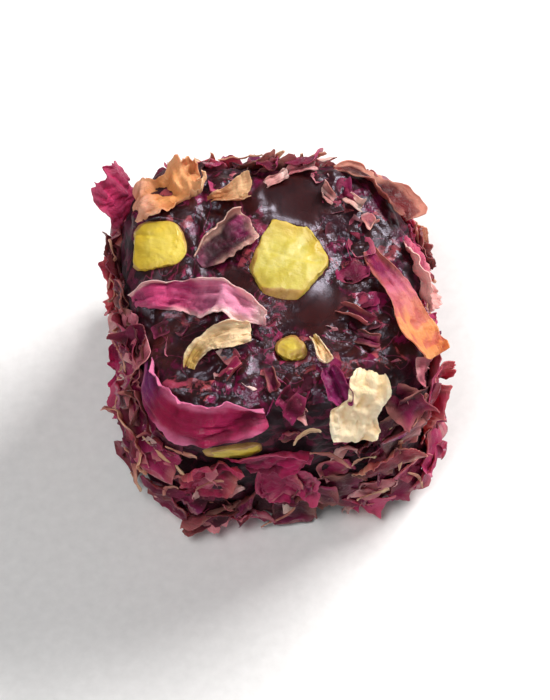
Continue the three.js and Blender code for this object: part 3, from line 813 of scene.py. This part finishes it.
def kernelMaterial():
    material, tree, shader, where = newMaterial("pistachio")
    cut = attribute(tree, "cut")
    flesh = cloud(tree, where, 420.0, 4.0, 0.6, 0.3)
    colour = ramp(tree, flesh, [(0.25, "ae9a34"), (0.5, "c2b24c"), (0.75, "d0c67e")])
    deeper = remap(tree, cloud(tree, where, 190.0, 3.0, 0.55, 0.5), 0.48, 0.66, 0.0, 0.4)
    ripe = calc(tree, "MULTIPLY_ADD", attribute(tree, "ripe"), 0.7, deeper)
    colour = blend(tree, ripe, colour, ramp(tree, flesh, [(0.25, "caa61e"), (0.7, "e2c634")]))
    green = remap(tree, cloud(tree, where, 170.0, 2.0, 0.5), 0.45, 0.7)
    colour = blend(tree, green, colour, tint("ccaa46"), 0.25)
    husk = ramp(tree, flesh, [(0.35, "8c5830"), (0.55, "b48c48"), (0.8, "ccac64")])
    colour = blend(tree, remap(tree, cut, 0.0, 0.22), husk, colour)
    # painted shade: darker towards the kernel's broken edges
    colour = blend(tree, attribute(tree, "margin"), colour, tint("b48c2c"), 0.4)
    # jelly left on the kernel, in dark patches that partly paint the shade where a kernel lies in shade
    smear = remap(tree, cloud(tree, where, 300.0, 3.0, 0.6, 0.8), 0.46, 0.6)
    colour = blend(tree, smear, colour, tint("7c4024"), attribute(tree, "smeared"))
    film = useGroup(tree, syrupFilm, {"Place": where, "Scale": 380.0, "Cover": 0.4})
    normal = bump(tree, cloud(tree, where, 480.0, 3.0, 0.6, 0.6), 0.3, 0.0006)
    normal = bump(tree, cloud(tree, where, 1500.0, 4.0, 0.65), 0.25, 0.0003, normal)
    feed(tree, shader, {
        "Base Color": colour, "Roughness": remap(tree, film["Film"], 0.0, 1.0, 0.55, 0.36), "Normal": normal,
        "Subsurface Weight": 0.35, "Subsurface Radius": (1.0, 0.8, 0.25), "Subsurface Scale": 0.0009,
    })
    return material


def kernelMesh(name, kernel, seed):
    sphere, faces = ball(6)
    draw = np.random.default_rng(int(seed * 10) + 3)
    body = sphere * (1 + 0.05 * np.sin(5 * sphere[:, 0] + 2 * sphere[:, 2])
                     * np.cos(4 * sphere[:, 1] - sphere[:, 2]))[:, None]
    for i in range(0 if "chips" in kernel else kernelCut["faces"]):
        angle = (i + draw.uniform(-0.3, 0.3)) / kernelCut["faces"] * 2 * math.pi
        chip = unit(np.array((math.cos(angle), math.sin(angle), draw.uniform(-0.5, 0.5))))
        over = body @ chip - draw.uniform(0.93, 1.06)
        body = body - np.outer(np.maximum(over, 0) * 0.92, chip)
    body = body * (1 + 0.03 * noiseAt(sphere, 2.6, 2, seed))[:, None]
    turned = turnOf(kernel)
    points = (body * kernel["half"] * kernelCut["swell"]) @ turned.T
    broken, margin = np.zeros((2, len(points)))
    for away, reach in chipFaces(kernel, ("chips", "nicks")):
        uneven = reach * kernelCut["swell"] + kernelCut["buckle"] * noiseAt(points, 0.5, 2, seed + 3)
        uneven = uneven + kernelCut["grit"] * noiseAt(points, 1.7, 2, seed)
        over = np.maximum(points @ away - uneven, 0)
        broken = np.maximum(broken, easeStep(over, 0, 0.3))
        # how near a break each point lies, for the painted shade at the kernel's edges
        margin = np.maximum(margin, easeStep(points @ away - uneven, -1.0, 0.1))
        points = points - np.outer(over * 0.94, away)
    points = points + kernel["centre"]
    reach = np.linalg.norm(points - middle, axis=1)
    # the cut is slightly domed, with broken facets and the seam between the two halves
    local = points - onSkin(np.array([kernel["centre"]]))
    across = np.linalg.norm(local, axis=1) / max(kernel["half"])
    facets = np.abs(noiseAt(points, 0.36, 1, seed + 5)) * kernelCut["facets"] * easeStep(across, 0.8, 0.3)
    seamLine = local @ turned[:, 1] + 0.3 * np.sin(local @ turned[:, 0] * 0.9)
    seam = kernelCut["seam"] * np.exp(-((seamLine / 0.2) ** 2)) * easeStep(across, 0.75, 0.35)
    dome = kernelCut["dome"] * np.clip(1 - across ** 2, 0, 1)
    dome = dome - facets - seam + 0.07 * noiseAt(points, 1.1, 3, seed)
    limit = np.linalg.norm(onSkin(points, kernelCut["proud"]) - middle, axis=1) + dome
    cut = np.clip((reach - limit) / 0.4, 0, 1)
    if "chips" not in kernel:
        cleared = reach - limit - kernelCut["skin"] + 1.1 * noiseAt(points, 0.7, 3, seed)
        cut = np.clip(cleared / 0.6, 0, 1)
    points = np.where((reach > limit)[:, None], middle + unit(points - middle) * limit[:, None], points)
    points[:, 2] = np.maximum(points[:, 2], 0)
    cut = np.maximum(np.maximum(cut, 0.8 * broken), points[:, 2] < 0.01)
    values = {"cut": cut, "margin": margin}
    for key, usual in (("ripe", 0.65), ("smeared", 0.45)):
        values[key] = np.full(len(points), kernel.get(key, usual))
    return writeMesh(name, points, faces, values)


def makeKernels():
    material = kernelMaterial()
    for i, (name, kernel) in enumerate(kernels.items()):
        nut = name.replace("kernel", "nut")
        addPiece(nut, kernelMesh(nut, kernel, 2.3 * i), material, "kernel", name)
    print("kernels:", len(kernels))


# Where petals and kernels lie on the skin, so that the jelly and the coat make room for them

# A petal's sheet put back on the skin, from a share of its length to the lip
def footprint(petal, cells, start=0.0):
    grid = evenGrid(cells)
    return onSkin(petalSheet(petal, grid)[0])[grid[0] >= start - 1e-9]


def treeOf(spots):
    tree = kdtree.KDTree(len(spots))
    for i, spot in enumerate(spots):
        tree.insert(spot, i)
    tree.balance()
    return tree


footprints = treeOf(np.concatenate([footprint(petal, (16, 8)) for petal in petals.values()]))
shownPrints = treeOf(np.concatenate([footprint(petals[name], (16, 8)) for name in topPetals]))


def petalDistance(points):
    return np.array([footprints.find(p)[2] for p in points])


def shownDistance(points):
    return np.array([shownPrints.find(p)[2] for p in points])


def nearestKernel(points):
    return np.min([kernelReach(points, kernel) for kernel in kernels.values()], axis=0)


# Jelly

jelly = {
    "cells": 118,  # facets along each side
    "bulge": 0.34,  # reach of the soft lumps over what is buried
    "bulgeScale": 0.21,
    "wrinkle": 0.42,  # reach of the sticky wrinkles
    "wrinkleScale": 0.42,
    "fine": 0.12,
    "fineScale": 1.2,
    "climb": 0.14,  # jelly drawn up against a kernel
    "cling": 0.16,  # and under a petal
    "calm": ((3.0, 9.6, 27, 4.2), (3.6, -2.4, 27, 3.4), (-3.4, 1.2, 27, 1.6)),  # smooth spots and their reach
}


# How far points are from the middle of each calm spot, and how far the spot reaches
def calmSpots(points):
    for *spot, reach in jelly["calm"]:
        yield np.linalg.norm(points - onSkin(np.array([spot], float)), axis=1), reach


def jellySkin():
    points, faces = griddedCube(jelly["cells"])
    calm = np.zeros(len(points))
    for away, reach in calmSpots(points):
        away = away + 1.1 * noiseAt(points, 0.5, 1, 2.2)
        calm = np.maximum(calm, 1 - easeStep(away, 0.5 * reach, 1.15 * reach))
    lumps = noiseAt(points, jelly["bulgeScale"], 2, 3.1) * jelly["bulge"]
    sticky = 2.1 * np.abs(noiseAt(points, jelly["wrinkleScale"], 2, 7.7)) - 0.5
    fine = noiseAt(points, jelly["fineScale"], 2, 4.9) * jelly["fine"]
    rough = (1 - calm) * np.clip(noiseAt(points, 0.2, 1, 1.3) * 1.6 + 0.85, 0.3, 1)
    nut = nearestKernel(points)
    climb = jelly["climb"] * np.exp(-((nut - 0.3) / 0.4) ** 2) - 1.3 * easeStep(nut, 0.1, -0.6)
    under = jelly["cling"] * (1 - easeStep(petalDistance(points), 0.3, 1.4))
    lumps = lumps * (1 - 0.9 * calm)
    wrinkles = rough * (sticky * jelly["wrinkle"] + fine) * easeStep(nut, 0.3, 1.4)
    height = lumps * easeStep(nut, 0, 2) + wrinkles + climb + under
    flat = easeStep(points[:, 2], 0.3, 1.5)
    normal = skinNormal(points)
    stained = 1 - easeStep(normal[:, 2] + 0.25 * noiseAt(points, 0.35, 2, 6.0), 0.4, 0.88)
    points = points + normal * (height * flat)[:, None]
    points[:, 2] = np.maximum(points[:, 2], 0)
    stained = stained * (normal[:, 2] > -0.5)
    return points, faces, {"calm": calm, "ridge": np.clip(sticky, -1, 1), "stained": stained}


def jellyMaterial():
    material, tree, shader, where = newMaterial("darkJelly")
    calm = attribute(tree, "calm")
    ridge = attribute(tree, "ridge")
    depth = cloud(tree, where, 130.0, 3.0, 0.5, 0.3)
    colour = ramp(tree, depth, [(0.3, "1e0c0b"), (0.52, "2e1211"), (0.75, "4a1c18")])
    # petals and nut skin ground into the jelly: broken plates, and thin lines where a petal lies edge on
    plates = addNode(tree, "ShaderNodeTexVoronoi", {"Vector": where, "Scale": 480.0}).outputs["Color"]
    hue = wire(tree, "ShaderNodeSeparateColor", {"Color": plates})
    plateColour = ramp(tree, hue, [(0.3, "2c0d18"), (0.5, "600c34"), (0.75, "8c1450"), (0.95, "b05058")])
    patches = remap(tree, cloud(tree, where, 360.0, 4.0, 0.65, 1.6), 0.47, 0.57)
    ground = calc(tree, "MULTIPLY", patches, remap(tree, calm, 0.8, 0.1))
    colour = blend(tree, ground, colour, plateColour, 0.75)
    lines = cloud(tree, where, 210.0, 2.0, 0.5, 1.4)
    edgeOn = remap(tree, calc(tree, "ABSOLUTE", calc(tree, "SUBTRACT", lines, 0.5)), 0.012, 0.0)
    colour = blend(tree, edgeOn, colour, tint("9c3a60"), remap(tree, calm, 0.8, 0.1, 0.0, 0.55))
    colour = blend(tree, calm, colour, tint("34100f"), 0.5)
    # painted shade: darker in the creases between the sticky wrinkles
    colour = blend(tree, remap(tree, ridge, 0.1, -0.6, 0.0, 0.6), colour, tint("1c0a0c"))
    stained = attribute(tree, "stained")
    maroon = ramp(tree, patches, [(0.0, "1c0409"), (1.0, "4c0a24")])
    colour = blend(tree, stained, colour, maroon, 0.85)
    film = useGroup(tree, syrupFilm, {"Place": where, "Scale": 300.0, "Cover": 0.6})
    pits = wire(tree, "ShaderNodeTexVoronoi", {"Vector": where, "Scale": 900.0}, feature="SMOOTH_F1")
    shine = remap(tree, film["Film"], 0.0, 1.0, 0.46, 0.3)
    shine = calc(tree, "MULTIPLY_ADD", stained, 0.5, shine)
    shine = calc(tree, "MULTIPLY_ADD", calm, calc(tree, "SUBTRACT", 0.27, shine), shine)
    normal = bump(tree, cloud(tree, where, 620.0, 4.0, 0.6), remap(tree, calm, 0.9, 0.1, 0.02, 0.45), 0.0006)
    normal = bump(tree, pits, remap(tree, calm, 0.9, 0.1, 0.0, 0.3), 0.0003, normal)
    normal = bump(tree, cloud(tree, where, 2100.0, 2.0, 0.5), 0.06, 0.0002, normal)
    feed(tree, shader, {
        "Base Color": colour, "Roughness": shine, "Normal": normal,
        "IOR": 1.45, "Specular Tint": (0.86, 0.82, 1.0, 1.0),
        "Subsurface Weight": 0.4, "Subsurface Radius": (1.0, 0.22, 0.2), "Subsurface Scale": 0.001,
    })
    return material


def makeJelly():
    points, faces, values = jellySkin()
    mesh = writeMesh("jellyBody", points, faces, values)
    addPiece("jellyBody", mesh, jellyMaterial(), "jelly", "jelly")
    print("jelly:", len(faces), "faces")


# Coat flakes: small petals stuck by their claws, in rings on the walls and the rim, and scraps on the cut

wallFlake = {"length": (4.5, 7), "width": (3.2, 5), "rise": (0.9, 1.7), "cup": (0.1, 0.7), "cells": (3, 2)}
rimFlake = {"length": (4, 6.5), "width": (2.6, 4.2), "rise": (0.8, 1.6), "cup": (0.1, 0.7), "cells": (3, 2)}
flakeRings = (  # kind, count, radius, height
    (wallFlake, 16, 20, 3.4),
    (wallFlake, 12, 20, 9),
    (wallFlake, 12, 20, 14),
    (wallFlake, 16, 20, 19.4),
    (rimFlake, 20, 14.4, 24),
)
topScraps = (  # middle, turn in degrees, length, width, tone
    ((6.8, 9.3), 140, 1.7, 1.3, 0.95),
    ((9.5, 8.6), -50, 2.6, 1.4, 1.0),
    ((10.9, 6.3), -70, 2.0, 1.3, 0.9),
    ((1.8, 11.6), 20, 2.8, 1.3, 0.95),
    ((4.6, 13.2), -8, 3.4, 1.5, 0.9),
    ((-1.6, 13.6), 10, 3.6, 1.8, 0.85),
    ((6.9, -3.9), -40, 3.8, 1.5, 0.35),
    ((7.7, -6.6), -25, 2.8, 1.5, 0.2),
    ((-1.6, -9.4), -84, 3.0, 1.2, 0.3),
    ((-5.6, -8.4), 35, 2.6, 1.3, 0.5),
    ((0.6, -13.8), -25, 2.2, 1.2, 0.9),
)
flakeRule = {
    "room": 0.9,  # from the free half of a flake to the petals that can be told apart
    "kernelRoom": 0.6,
    "tucked": 0.5,
    "tries": 8,
    "sunk": -0.1,
    "cells": (22, 12),
}


def scrapFlakes():
    for (x, y), turn, length, width, tone in topScraps:
        point = onSkin(np.array([(x, y, skin["height"])]))[0]
        along = np.array((math.cos(math.radians(turn)), math.sin(math.radians(turn)), 0.0))
        yield {
            **plainPetal, "spine": spineAt(point, along, length), "width": width, "claw": 0.6, "point": 0.4,
            "lift": flakeRule["sunk"], "rise": 0.6, "tone": tone, "pleats": 0.4,
        }


def hasRoom(spots, taken):
    near = min(taken.find(spot)[2] for spot in spots)
    return near >= flakeRule["room"] and nearestKernel(spots).min() > flakeRule["kernelRoom"]


def coatFlakes():
    taken = treeOf(np.concatenate([footprint(petal, (8, 4)) for petal in petals.values()]))
    flakes = [scrap for scrap in scrapFlakes() if hasRoom(footprint(scrap, (2, 2)), taken)]
    slot = 0
    for kind, count, radius, level in flakeRings:
        for i in range(count):
            slot += 1
            draw = seeded(slot * 2654435761 % 2 ** 32)
            for attempt in range(flakeRule["tries"]):
                angle = (i + slot % 2 / 2 + draw(-0.4, 0.4)) / count * 2 * math.pi
                turn = draw(0, 2 * math.pi)
                out = np.array((math.cos(angle), math.sin(angle), 0.0))
                point = out * radius + (0, 0, level + draw(-1.2, 1.2))
                along = np.array((-out[1] * math.cos(turn), out[0] * math.cos(turn), math.sin(turn)))
                flake = {
                    **plainPetal,
                    "spine": spineAt(onSkin(point[None])[0], along, draw(*kind["length"])),
                    "width": draw(*kind["width"]),
                    "lift": flakeRule["sunk"],
                    "rise": draw(*kind["rise"]),
                    "cup": draw(*kind["cup"]),
                    "phase": draw(0, 6),
                    "claw": draw(0.3, 0.7),
                    "point": draw(0.2, 0.9),
                }
                if hasRoom(footprint(flake, kind["cells"], flakeRule["tucked"]), taken):
                    flakes.append({**flake, "tone": draw(0, 0.95) ** 3})
                    break
    return flakes


def makeFlakes(material):
    points, faces, values = [], [], {}
    flakes = coatFlakes()
    for i, flake in enumerate(flakes):
        flakePoints, flakeFaces, flakeValues = petalParts(flake, flakeRule["cells"], 60 + 1.7 * i)
        faces.append(flakeFaces + sum(map(len, points)))
        points.append(flakePoints)
        for key, array in {**flakeValues, "tone": np.full(len(flakePoints), flake["tone"])}.items():
            values.setdefault(key, []).append(array)
    values = {key: np.concatenate(arrays) for key, arrays in values.items()}
    mesh = writeMesh("coatFlakes", np.concatenate(points), np.concatenate(faces), values, 60)
    addPiece("coatFlakes", mesh, material, "petal", "jelly")
    print("flakes:", len(flakes))


# Coat: small petals, shreds and crumbs scattered over the skin and bent to it

coatCells = (6, 4)
smallPetal = {
    "length": (5.5, 8.5),
    "width": (4.2, 6.2),
    "claw": (0.3, 0.8),
    "point": (0.1, 0.9),
    "cup": (0.2, 0.9),
    "rollFrom": (0.6, 0.95),  # the lip rolls back over the petal from this share of its length
    "rollRadius": (0.5, 1.1),
    "thickness": 0.13,
}
thinShred = {
    "length": (3.0, 6.5),
    "width": (0.35, 0.8),
    "bend": (-2.0, 2.0),
    "twist": (-2.5, 2.5),
    "arch": (0.1, 0.8),
    "thickness": 0.16,
}
driedCrumb = {"half": ((0.5, 0.9), (0.2, 0.4), (0.08, 0.16)), "chipped": 0.9}


def lyingShape(name, x, y, height, t, v, fold, thickness):
    rows, columns = coatCells[0] + 1, coatCells[1] + 1
    centre = np.stack([x, y, x * 0], axis=1)
    points, faces = thicken(centre, centre * 0, 0, rows, columns)
    sides = np.concatenate([height + thickness / 2, height - thickness / 2])
    values = {**petalValues(t, v, fold), "ahead": np.tile(x, 2) * mm, "height": sides * mm}
    return writeMesh(name, points, faces, values)


def coatPetal(i):
    draw = np.random.default_rng(40 + i)
    length, width = draw.uniform(*smallPetal["length"]), draw.uniform(*smallPetal["width"])
    shape = {
        **plainPetal, "width": width, "claw": draw.uniform(*smallPetal["claw"]),
        "phase": draw.uniform(0, 6), "point": draw.uniform(*smallPetal["point"]),
    }
    t, v = evenGrid(coatCells)
    v = np.sin(v * math.pi / 2)
    across = v * petalWidth(t, shape)
    y = across * width / 2
    x = (t - 0.5) * length + 0.5 * np.sin(across * 2 + i)
    height = draw.uniform(*smallPetal["cup"]) * across ** 2 + 0.5 * noiseAt(beside(x, x, y, 9 * i), 0.33, 2)
    pleats = noiseAt(beside(t, t, across * 3, 5 * i), 1.0, 1)
    height = height + 0.6 * pleats * (0.3 + t)
    start, radius = draw.uniform(*smallPetal["rollFrom"]), draw.uniform(*smallPetal["rollRadius"])
    turn = np.maximum(t - start, 0) * length / radius
    bent = t > start
    x = np.where(bent, (start - 0.5) * length + radius * np.sin(turn) + 0.3 * v, x)
    height = height + np.where(bent, radius * (1 - np.cos(turn)), 0)
    # fold follows the pleats, for painted shade and highlight
    fold = np.clip(0.5 + pleats * 1.3, 0, 1)
    return lyingShape(f"coatPetal{i}", x, y, height, t, v, fold, smallPetal["thickness"])


def shred(i):
    draw = np.random.default_rng(90 + i)
    length, width = draw.uniform(*thinShred["length"]), draw.uniform(*thinShred["width"])
    t, v = evenGrid(coatCells)
    taper = np.sin(np.clip(t * 0.9 + 0.08, 0, 1) * math.pi) ** 0.5
    bend = draw.uniform(*thinShred["bend"]) * (t - 0.5) ** 2 * 4
    x, y = (t - 0.5) * length, v * taper * width / 2 + bend
    twist = draw.uniform(*thinShred["twist"]) * (t - 0.5)
    height = 0.35 + 0.5 * v * np.sin(twist) * width / 2 + draw.uniform(*thinShred["arch"]) * (2 * t - 1) ** 2
    fold = 0.5 + 0.5 * np.sin(3 * v)
    return lyingShape(f"shred{i}", x, y, height, t, v, fold, thinShred["thickness"])


def crumb(i):
    draw = np.random.default_rng(130 + i)
    sphere, faces = ball(2)
    chipped = sphere * (1 + driedCrumb["chipped"] * noiseAt(sphere, 1.3, 2, 7.0 * i))[:, None]
    x, y, z = (chipped * [draw.uniform(*half) for half in driedCrumb["half"]]).T
    # fold rises with height, so the material paints a crumb's top lit and its underside shaded
    values = {
        "along": x * 0 + 0.5, "across": sphere[:, 1], "rim": x * 0, "under": x * 0,
        "fold": np.clip(0.5 + z, 0, 1), "ahead": x * mm, "height": (z + 0.1) * mm,
    }
    return writeMesh(f"crumb{i}", np.stack([x, y, x * 0], 1), faces, values)


def scatterTree():
    inputs = [
        ("Geometry", "shape", None), ("Shapes", "pieces", None), ("Material", "material", None),
        ("Spacing", "value", 0.003), ("Density", "value", 4e5), ("Seed", "whole", 1),
        ("Size Low", "value", 0.8), ("Size High", "value", 1.2), ("Lift Low", "value", 0.0),
        ("Lift High", "value", 0.001), ("Slope", "value", 0.15), ("Ceiling", "value", 0.002),
        ("Crumple", "value", 0.0004), ("Floor", "value", 0.0003), ("Fineness", "whole", 1),
    ]
    tree, given, out = newGroup("scatterOnSkin", "GeometryNodeTree", inputs, [("Geometry", "shape")])

    def chance(low, high, salt):
        seed = calc(tree, "ADD", given["Seed"], float(salt))
        inputs = {"Min": low, "Max": high, "Seed": seed}
        return wire(tree, "FunctionNodeRandomValue", inputs, data_type="FLOAT")

    def named(name):
        return wire(tree, "GeometryNodeInputNamedAttribute", {"Name": name}, data_type="FLOAT")

    def stored(shapes, name, value):
        inputs = {"Geometry": shapes, "Name": name, "Value": value}
        return wire(tree, "GeometryNodeStoreNamedAttribute", inputs, data_type="FLOAT", domain="POINT")

    def vector(operation, a, b=(0, 0, 0), **more):
        return wire(tree, "ShaderNodeVectorMath", {0: a, 1: b, **more}, operation=operation)

    skinMesh = given["Geometry"]
    strewn = addNode(tree, "GeometryNodeDistributePointsOnFaces", {
        "Mesh": skinMesh, "Distance Min": given["Spacing"], "Density Max": given["Density"],
        "Density Factor": named("room"), "Seed": given["Seed"],
    }, distribute_method="POISSON")
    points = strewn.outputs["Points"]
    down = calc(tree, "MULTIPLY", given["Slope"], -1.0)
    kept = {
        "size": chance(given["Size Low"], given["Size High"], 11),
        "lift": chance(given["Lift Low"], given["Lift High"], 23),
        "slope": chance(down, given["Slope"], 37),
        "tone": chance(0.0, 1.0, 51),
    }
    for name, value in kept.items():
        points = stored(points, name, value)
    spin = wire(tree, "ShaderNodeCombineXYZ", {2: chance(0.0, 2 * math.pi, 67)})
    spin = wire(tree, "FunctionNodeEulerToRotation", {0: spin})
    upright = strewn.outputs["Rotation"]
    turned = wire(tree, "FunctionNodeRotateRotation", {0: upright, 1: spin}, rotation_space="LOCAL")
    shapes = wire(tree, "GeometryNodeCollectionInfo", {
        "Collection": given["Shapes"], "Separate Children": True, "Reset Children": True,
    })
    placed = wire(tree, "GeometryNodeInstanceOnPoints", {
        "Points": points, "Instance": shapes, "Pick Instance": True,
        "Rotation": turned, "Scale": named("size"),
    })
    loose = wire(tree, "GeometryNodeRealizeInstances", {"Geometry": placed})
    loose = wire(tree, "GeometryNodeSubdivisionSurface", {"Mesh": loose, "Level": given["Fineness"]})
    # bends each shape to the skin, then lifts it by its own height
    position = wire(tree, "GeometryNodeInputPosition")
    normal = wire(tree, "GeometryNodeInputNormal")
    sample = "GeometryNodeSampleNearestSurface"
    near = wire(tree, sample, {"Mesh": skinMesh, "Value": position}, data_type="FLOAT_VECTOR")
    outward = wire(tree, sample, {"Mesh": skinMesh, "Value": normal}, data_type="FLOAT_VECTOR")
    outward = vector("NORMALIZE", outward)
    apart = wire(tree, "ShaderNodeCombineXYZ", {2: named("tone")})
    folds = vector("ADD", near, apart)
    folds = calc(tree, "ABSOLUTE", calc(tree, "SUBTRACT", cloud(tree, folds, 380.0, 3.0, 0.55, 0.6), 0.5))
    folds = calc(tree, "MULTIPLY_ADD", folds, -5.0, 0.5)
    crumple = calc(tree, "MULTIPLY", folds, given["Crumple"])
    lean = calc(tree, "MULTIPLY", named("slope"), named("ahead"))
    tall = calc(tree, "MULTIPLY_ADD", calc(tree, "ADD", named("height"), lean), named("size"), named("lift"))
    tall = calc(tree, "MINIMUM", calc(tree, "ADD", tall, crumple), given["Ceiling"])
    lifted = vector("ADD", near, vector("SCALE", outward, Scale=tall))
    lowest = wire(tree, "ShaderNodeCombineXYZ", {0: -1.0, 1: -1.0, 2: given["Floor"]})
    lifted = vector("MAXIMUM", lifted, lowest)
    # the crumple goes into the fold value, from which the material paints shade in hollows and highlight on
    # ridges
    loose = stored(loose, "fold", calc(tree, "MULTIPLY_ADD", folds, 0.7, named("fold")))
    bent = wire(tree, "GeometryNodeSetPosition", {"Geometry": loose, "Position": lifted})
    smooth = wire(tree, "GeometryNodeSetShadeSmooth", {"Geometry": bent, "Shade Smooth": True})
    dressed = wire(tree, "GeometryNodeSetMaterial", {"Geometry": smooth, "Material": given["Material"]})
    feed(tree, out, {"Geometry": dressed})
    return tree


scatterOnSkin = scatterTree()


def strew(name, shapes, material, room, slot, settings):
    points, faces = griddedCube(40)
    under = writeMesh(name + "Skin", points, faces, {"room": room(points)})
    holder = intoScene(name + "Skin", under)
    group = bpy.data.collections.new(name + "Shapes")
    for mesh in shapes:
        group.objects.link(bpy.data.objects.new(mesh.name, mesh))
    modifier = holder.modifiers.new("scatter", "NODES")
    modifier.node_group = scatterOnSkin
    values = {"Shapes": group, "Material": material, **settings}
    for item in scatterOnSkin.interface.items_tree:
        if item.in_out == "INPUT" and item.name in values:
            modifier[item.identifier] = values[item.name]
    settled = holder.evaluated_get(bpy.context.evaluated_depsgraph_get())
    mesh = bpy.data.meshes.new_from_object(settled)
    mesh.name = name
    for spare in ("room", "height", "ahead", "lift", "slope", "size"):
        if spare in mesh.attributes:
            mesh.attributes.remove(mesh.attributes[spare])
    bpy.data.objects.remove(holder)
    for shape in list(group.objects):
        bpy.data.objects.remove(shape)
    bpy.data.collections.remove(group)
    addPiece(name, mesh, material, slot)
    print(name, len(mesh.polygons), "faces")


def coatMaterial(name, stops, lipStops, edgeCode):
    material, tree, shader, where = newMaterial(name)
    tone = attribute(tree, "tone")
    body = ramp(tree, tone, stops)
    lip = ramp(tree, tone, lipStops)
    toned = useGroup(tree, petalTone, {
        **readPetal(tree, where), "Claw": lip, "Middle": body, "Lip": lip,
        "Edge": tint(edgeCode), "Dark": tint("2a0817"),
        "Dryness": remap(tree, tone, 0.2, 0.9, 0.24, 0.5),
    })
    finishPetal(tree, shader, where, toned)
    return material


def wallRoom(points):
    steep = 1 - easeStep(skinNormal(points)[:, 2], 0.3, 0.6)
    clear = easeStep(points[:, 2], 1.2, 2.4)
    shown = easeStep(shownDistance(points), 2.4, 3.6)
    bare = 0.5 + 0.5 * easeStep(petalDistance(points), 0.2, 2.2)
    return steep * clear * shown * bare * easeStep(nearestKernel(points), 0.6, 2.4)


def rimRoom(points):
    rim = (1 - easeStep(skinNormal(points)[:, 2], 0.75, 0.93)) * easeStep(points[:, 2], 13, 16)
    return rim * easeStep(shownDistance(points), 0.7, 1.5) * easeStep(nearestKernel(points), 0.4, 1.2)


def topRoom(points):
    flat = easeStep(skinNormal(points)[:, 2], 0.5, 0.9)
    free = easeStep(petalDistance(points), 0.5, 1.3) * easeStep(nearestKernel(points), 0.6, 1.5)
    calm = np.ones(len(points))
    for away, reach in calmSpots(points):
        calm = np.minimum(calm, easeStep(away, 0.8 * reach, 1.3 * reach))
    return flat * free * calm


roseLip = [(0.0, "4c1028"), (0.35, "8c1a4c"), (0.62, "b83868"), (0.85, "dc8890"), (1.0, "fcdcd0")]
crumbBody = [(0.0, "3c0c20"), (0.4, "7a1640"), (0.65, "8c3040"), (0.88, "c88070"), (1.0, "e0b498")]
coatTones = {  # body and lip from the darkest petal to the palest, and the torn edge
    "rosePetals": (
        [(0.0, "2c0210"), (0.28, "4c0620"), (0.46, "780a38"), (0.64, "9c0c4c"), (0.8, "a8345c"),
         (0.9, "c87078"), (1.0, "ecb4a8")],
        roseLip, "e49c88",
    ),
    "buriedPetals": (
        [(0.0, "24020c"), (0.4, "4c0620"), (0.7, "7c0c38"), (0.9, "9c2048"), (1.0, "b85c58")],
        roseLip, "b86070",
    ),
    "petalShreds": (
        [(0.0, "a24c50"), (0.3, "b86a60"), (0.6, "c88a70"), (0.85, "d8ac84"), (1.0, "8a1c48")],
        [(0.0, "c07870"), (0.5, "dca888"), (1.0, "e6c49c")], "e0b090",
    ),
    "crumbs": (crumbBody, crumbBody, "e0b498"),
}
coatShapes = {"petal": (coatPetal, 8), "shred": (shred, 6), "crumb": (crumb, 4)}  # and how many of each
coatLayers = {  # shape, tones, room, and the inputs of the scatter
    "wallCoat": ("petal", "rosePetals", wallRoom, {
        "Spacing": 0.0024, "Density": 4e5, "Seed": 3, "Size Low": 0.5, "Size High": 1.0,
        "Lift Low": 0.0, "Lift High": 0.0006, "Slope": 0.2, "Ceiling": 0.0019, "Crumple": 0.0007,
    }),
    "rimCoat": ("petal", "rosePetals", rimRoom, {
        "Spacing": 0.0019, "Density": 5e5, "Seed": 21, "Size Low": 0.3, "Size High": 0.6,
        "Lift Low": 0.0, "Lift High": 0.0007, "Slope": 0.4, "Ceiling": 0.0019, "Crumple": 0.0007,
    }),
    "topFlakes": ("petal", "buriedPetals", topRoom, {
        "Spacing": 0.0015, "Density": 6e5, "Seed": 5, "Size Low": 0.25, "Size High": 0.6,
        "Lift Low": -0.0007, "Lift High": -0.0001, "Slope": 0.35, "Ceiling": 0.0009, "Crumple": 0.0008,
    }),
    "wallShreds": ("shred", "petalShreds", lambda p: 0.25 * wallRoom(p) + 0.8 * rimRoom(p), {
        "Spacing": 0.003, "Density": 2e5, "Seed": 8, "Size Low": 0.5, "Size High": 1.0,
        "Lift Low": 0.0005, "Lift High": 0.0011, "Slope": 0.2, "Ceiling": 0.0021, "Crumple": 0.0004,
    }),
    "crumbs": ("crumb", "crumbs", lambda p: 0.4 * wallRoom(p) + 0.5 * topRoom(p), {
        "Spacing": 0.0022, "Density": 2e5, "Seed": 12, "Size Low": 0.5, "Size High": 1.2,
        "Lift Low": -0.0001, "Lift High": 0.0001, "Slope": 0.1, "Ceiling": 0.0016, "Crumple": 0.0003,
        "Fineness": 0,
    }),
}


def makeCoat():
    coats = {name: coatMaterial(name, *tones) for name, tones in coatTones.items()}
    makeFlakes(coats["rosePetals"])
    shapes = {name: [make(i) for i in range(count)] for name, (make, count) in coatShapes.items()}
    for name, (shape, tones, room, settings) in coatLayers.items():
        strew(name, shapes[shape], coats[tones], room, "petal", settings)


def makeFloor():
    material, tree, shader, where = newMaterial("paleTable")
    colour = ramp(tree, cloud(tree, where, 900.0, 4.0, 0.6), [(0.3, "eeedec"), (0.7, "f6f5f4")])
    feed(tree, shader, {"Base Color": colour, "Roughness": 0.6})
    reach = 1500
    points = [(-reach, -reach, 0), (reach, -reach, 0), (reach, reach, 0), (-reach, reach, 0)]
    mesh = writeMesh("table", points, [(0, 1, 2, 3)])
    mesh.materials.append(material)
    intoScene("table", mesh)


makeFloor()
makeJelly()
makeKernels()
makePetals()
makeCoat()
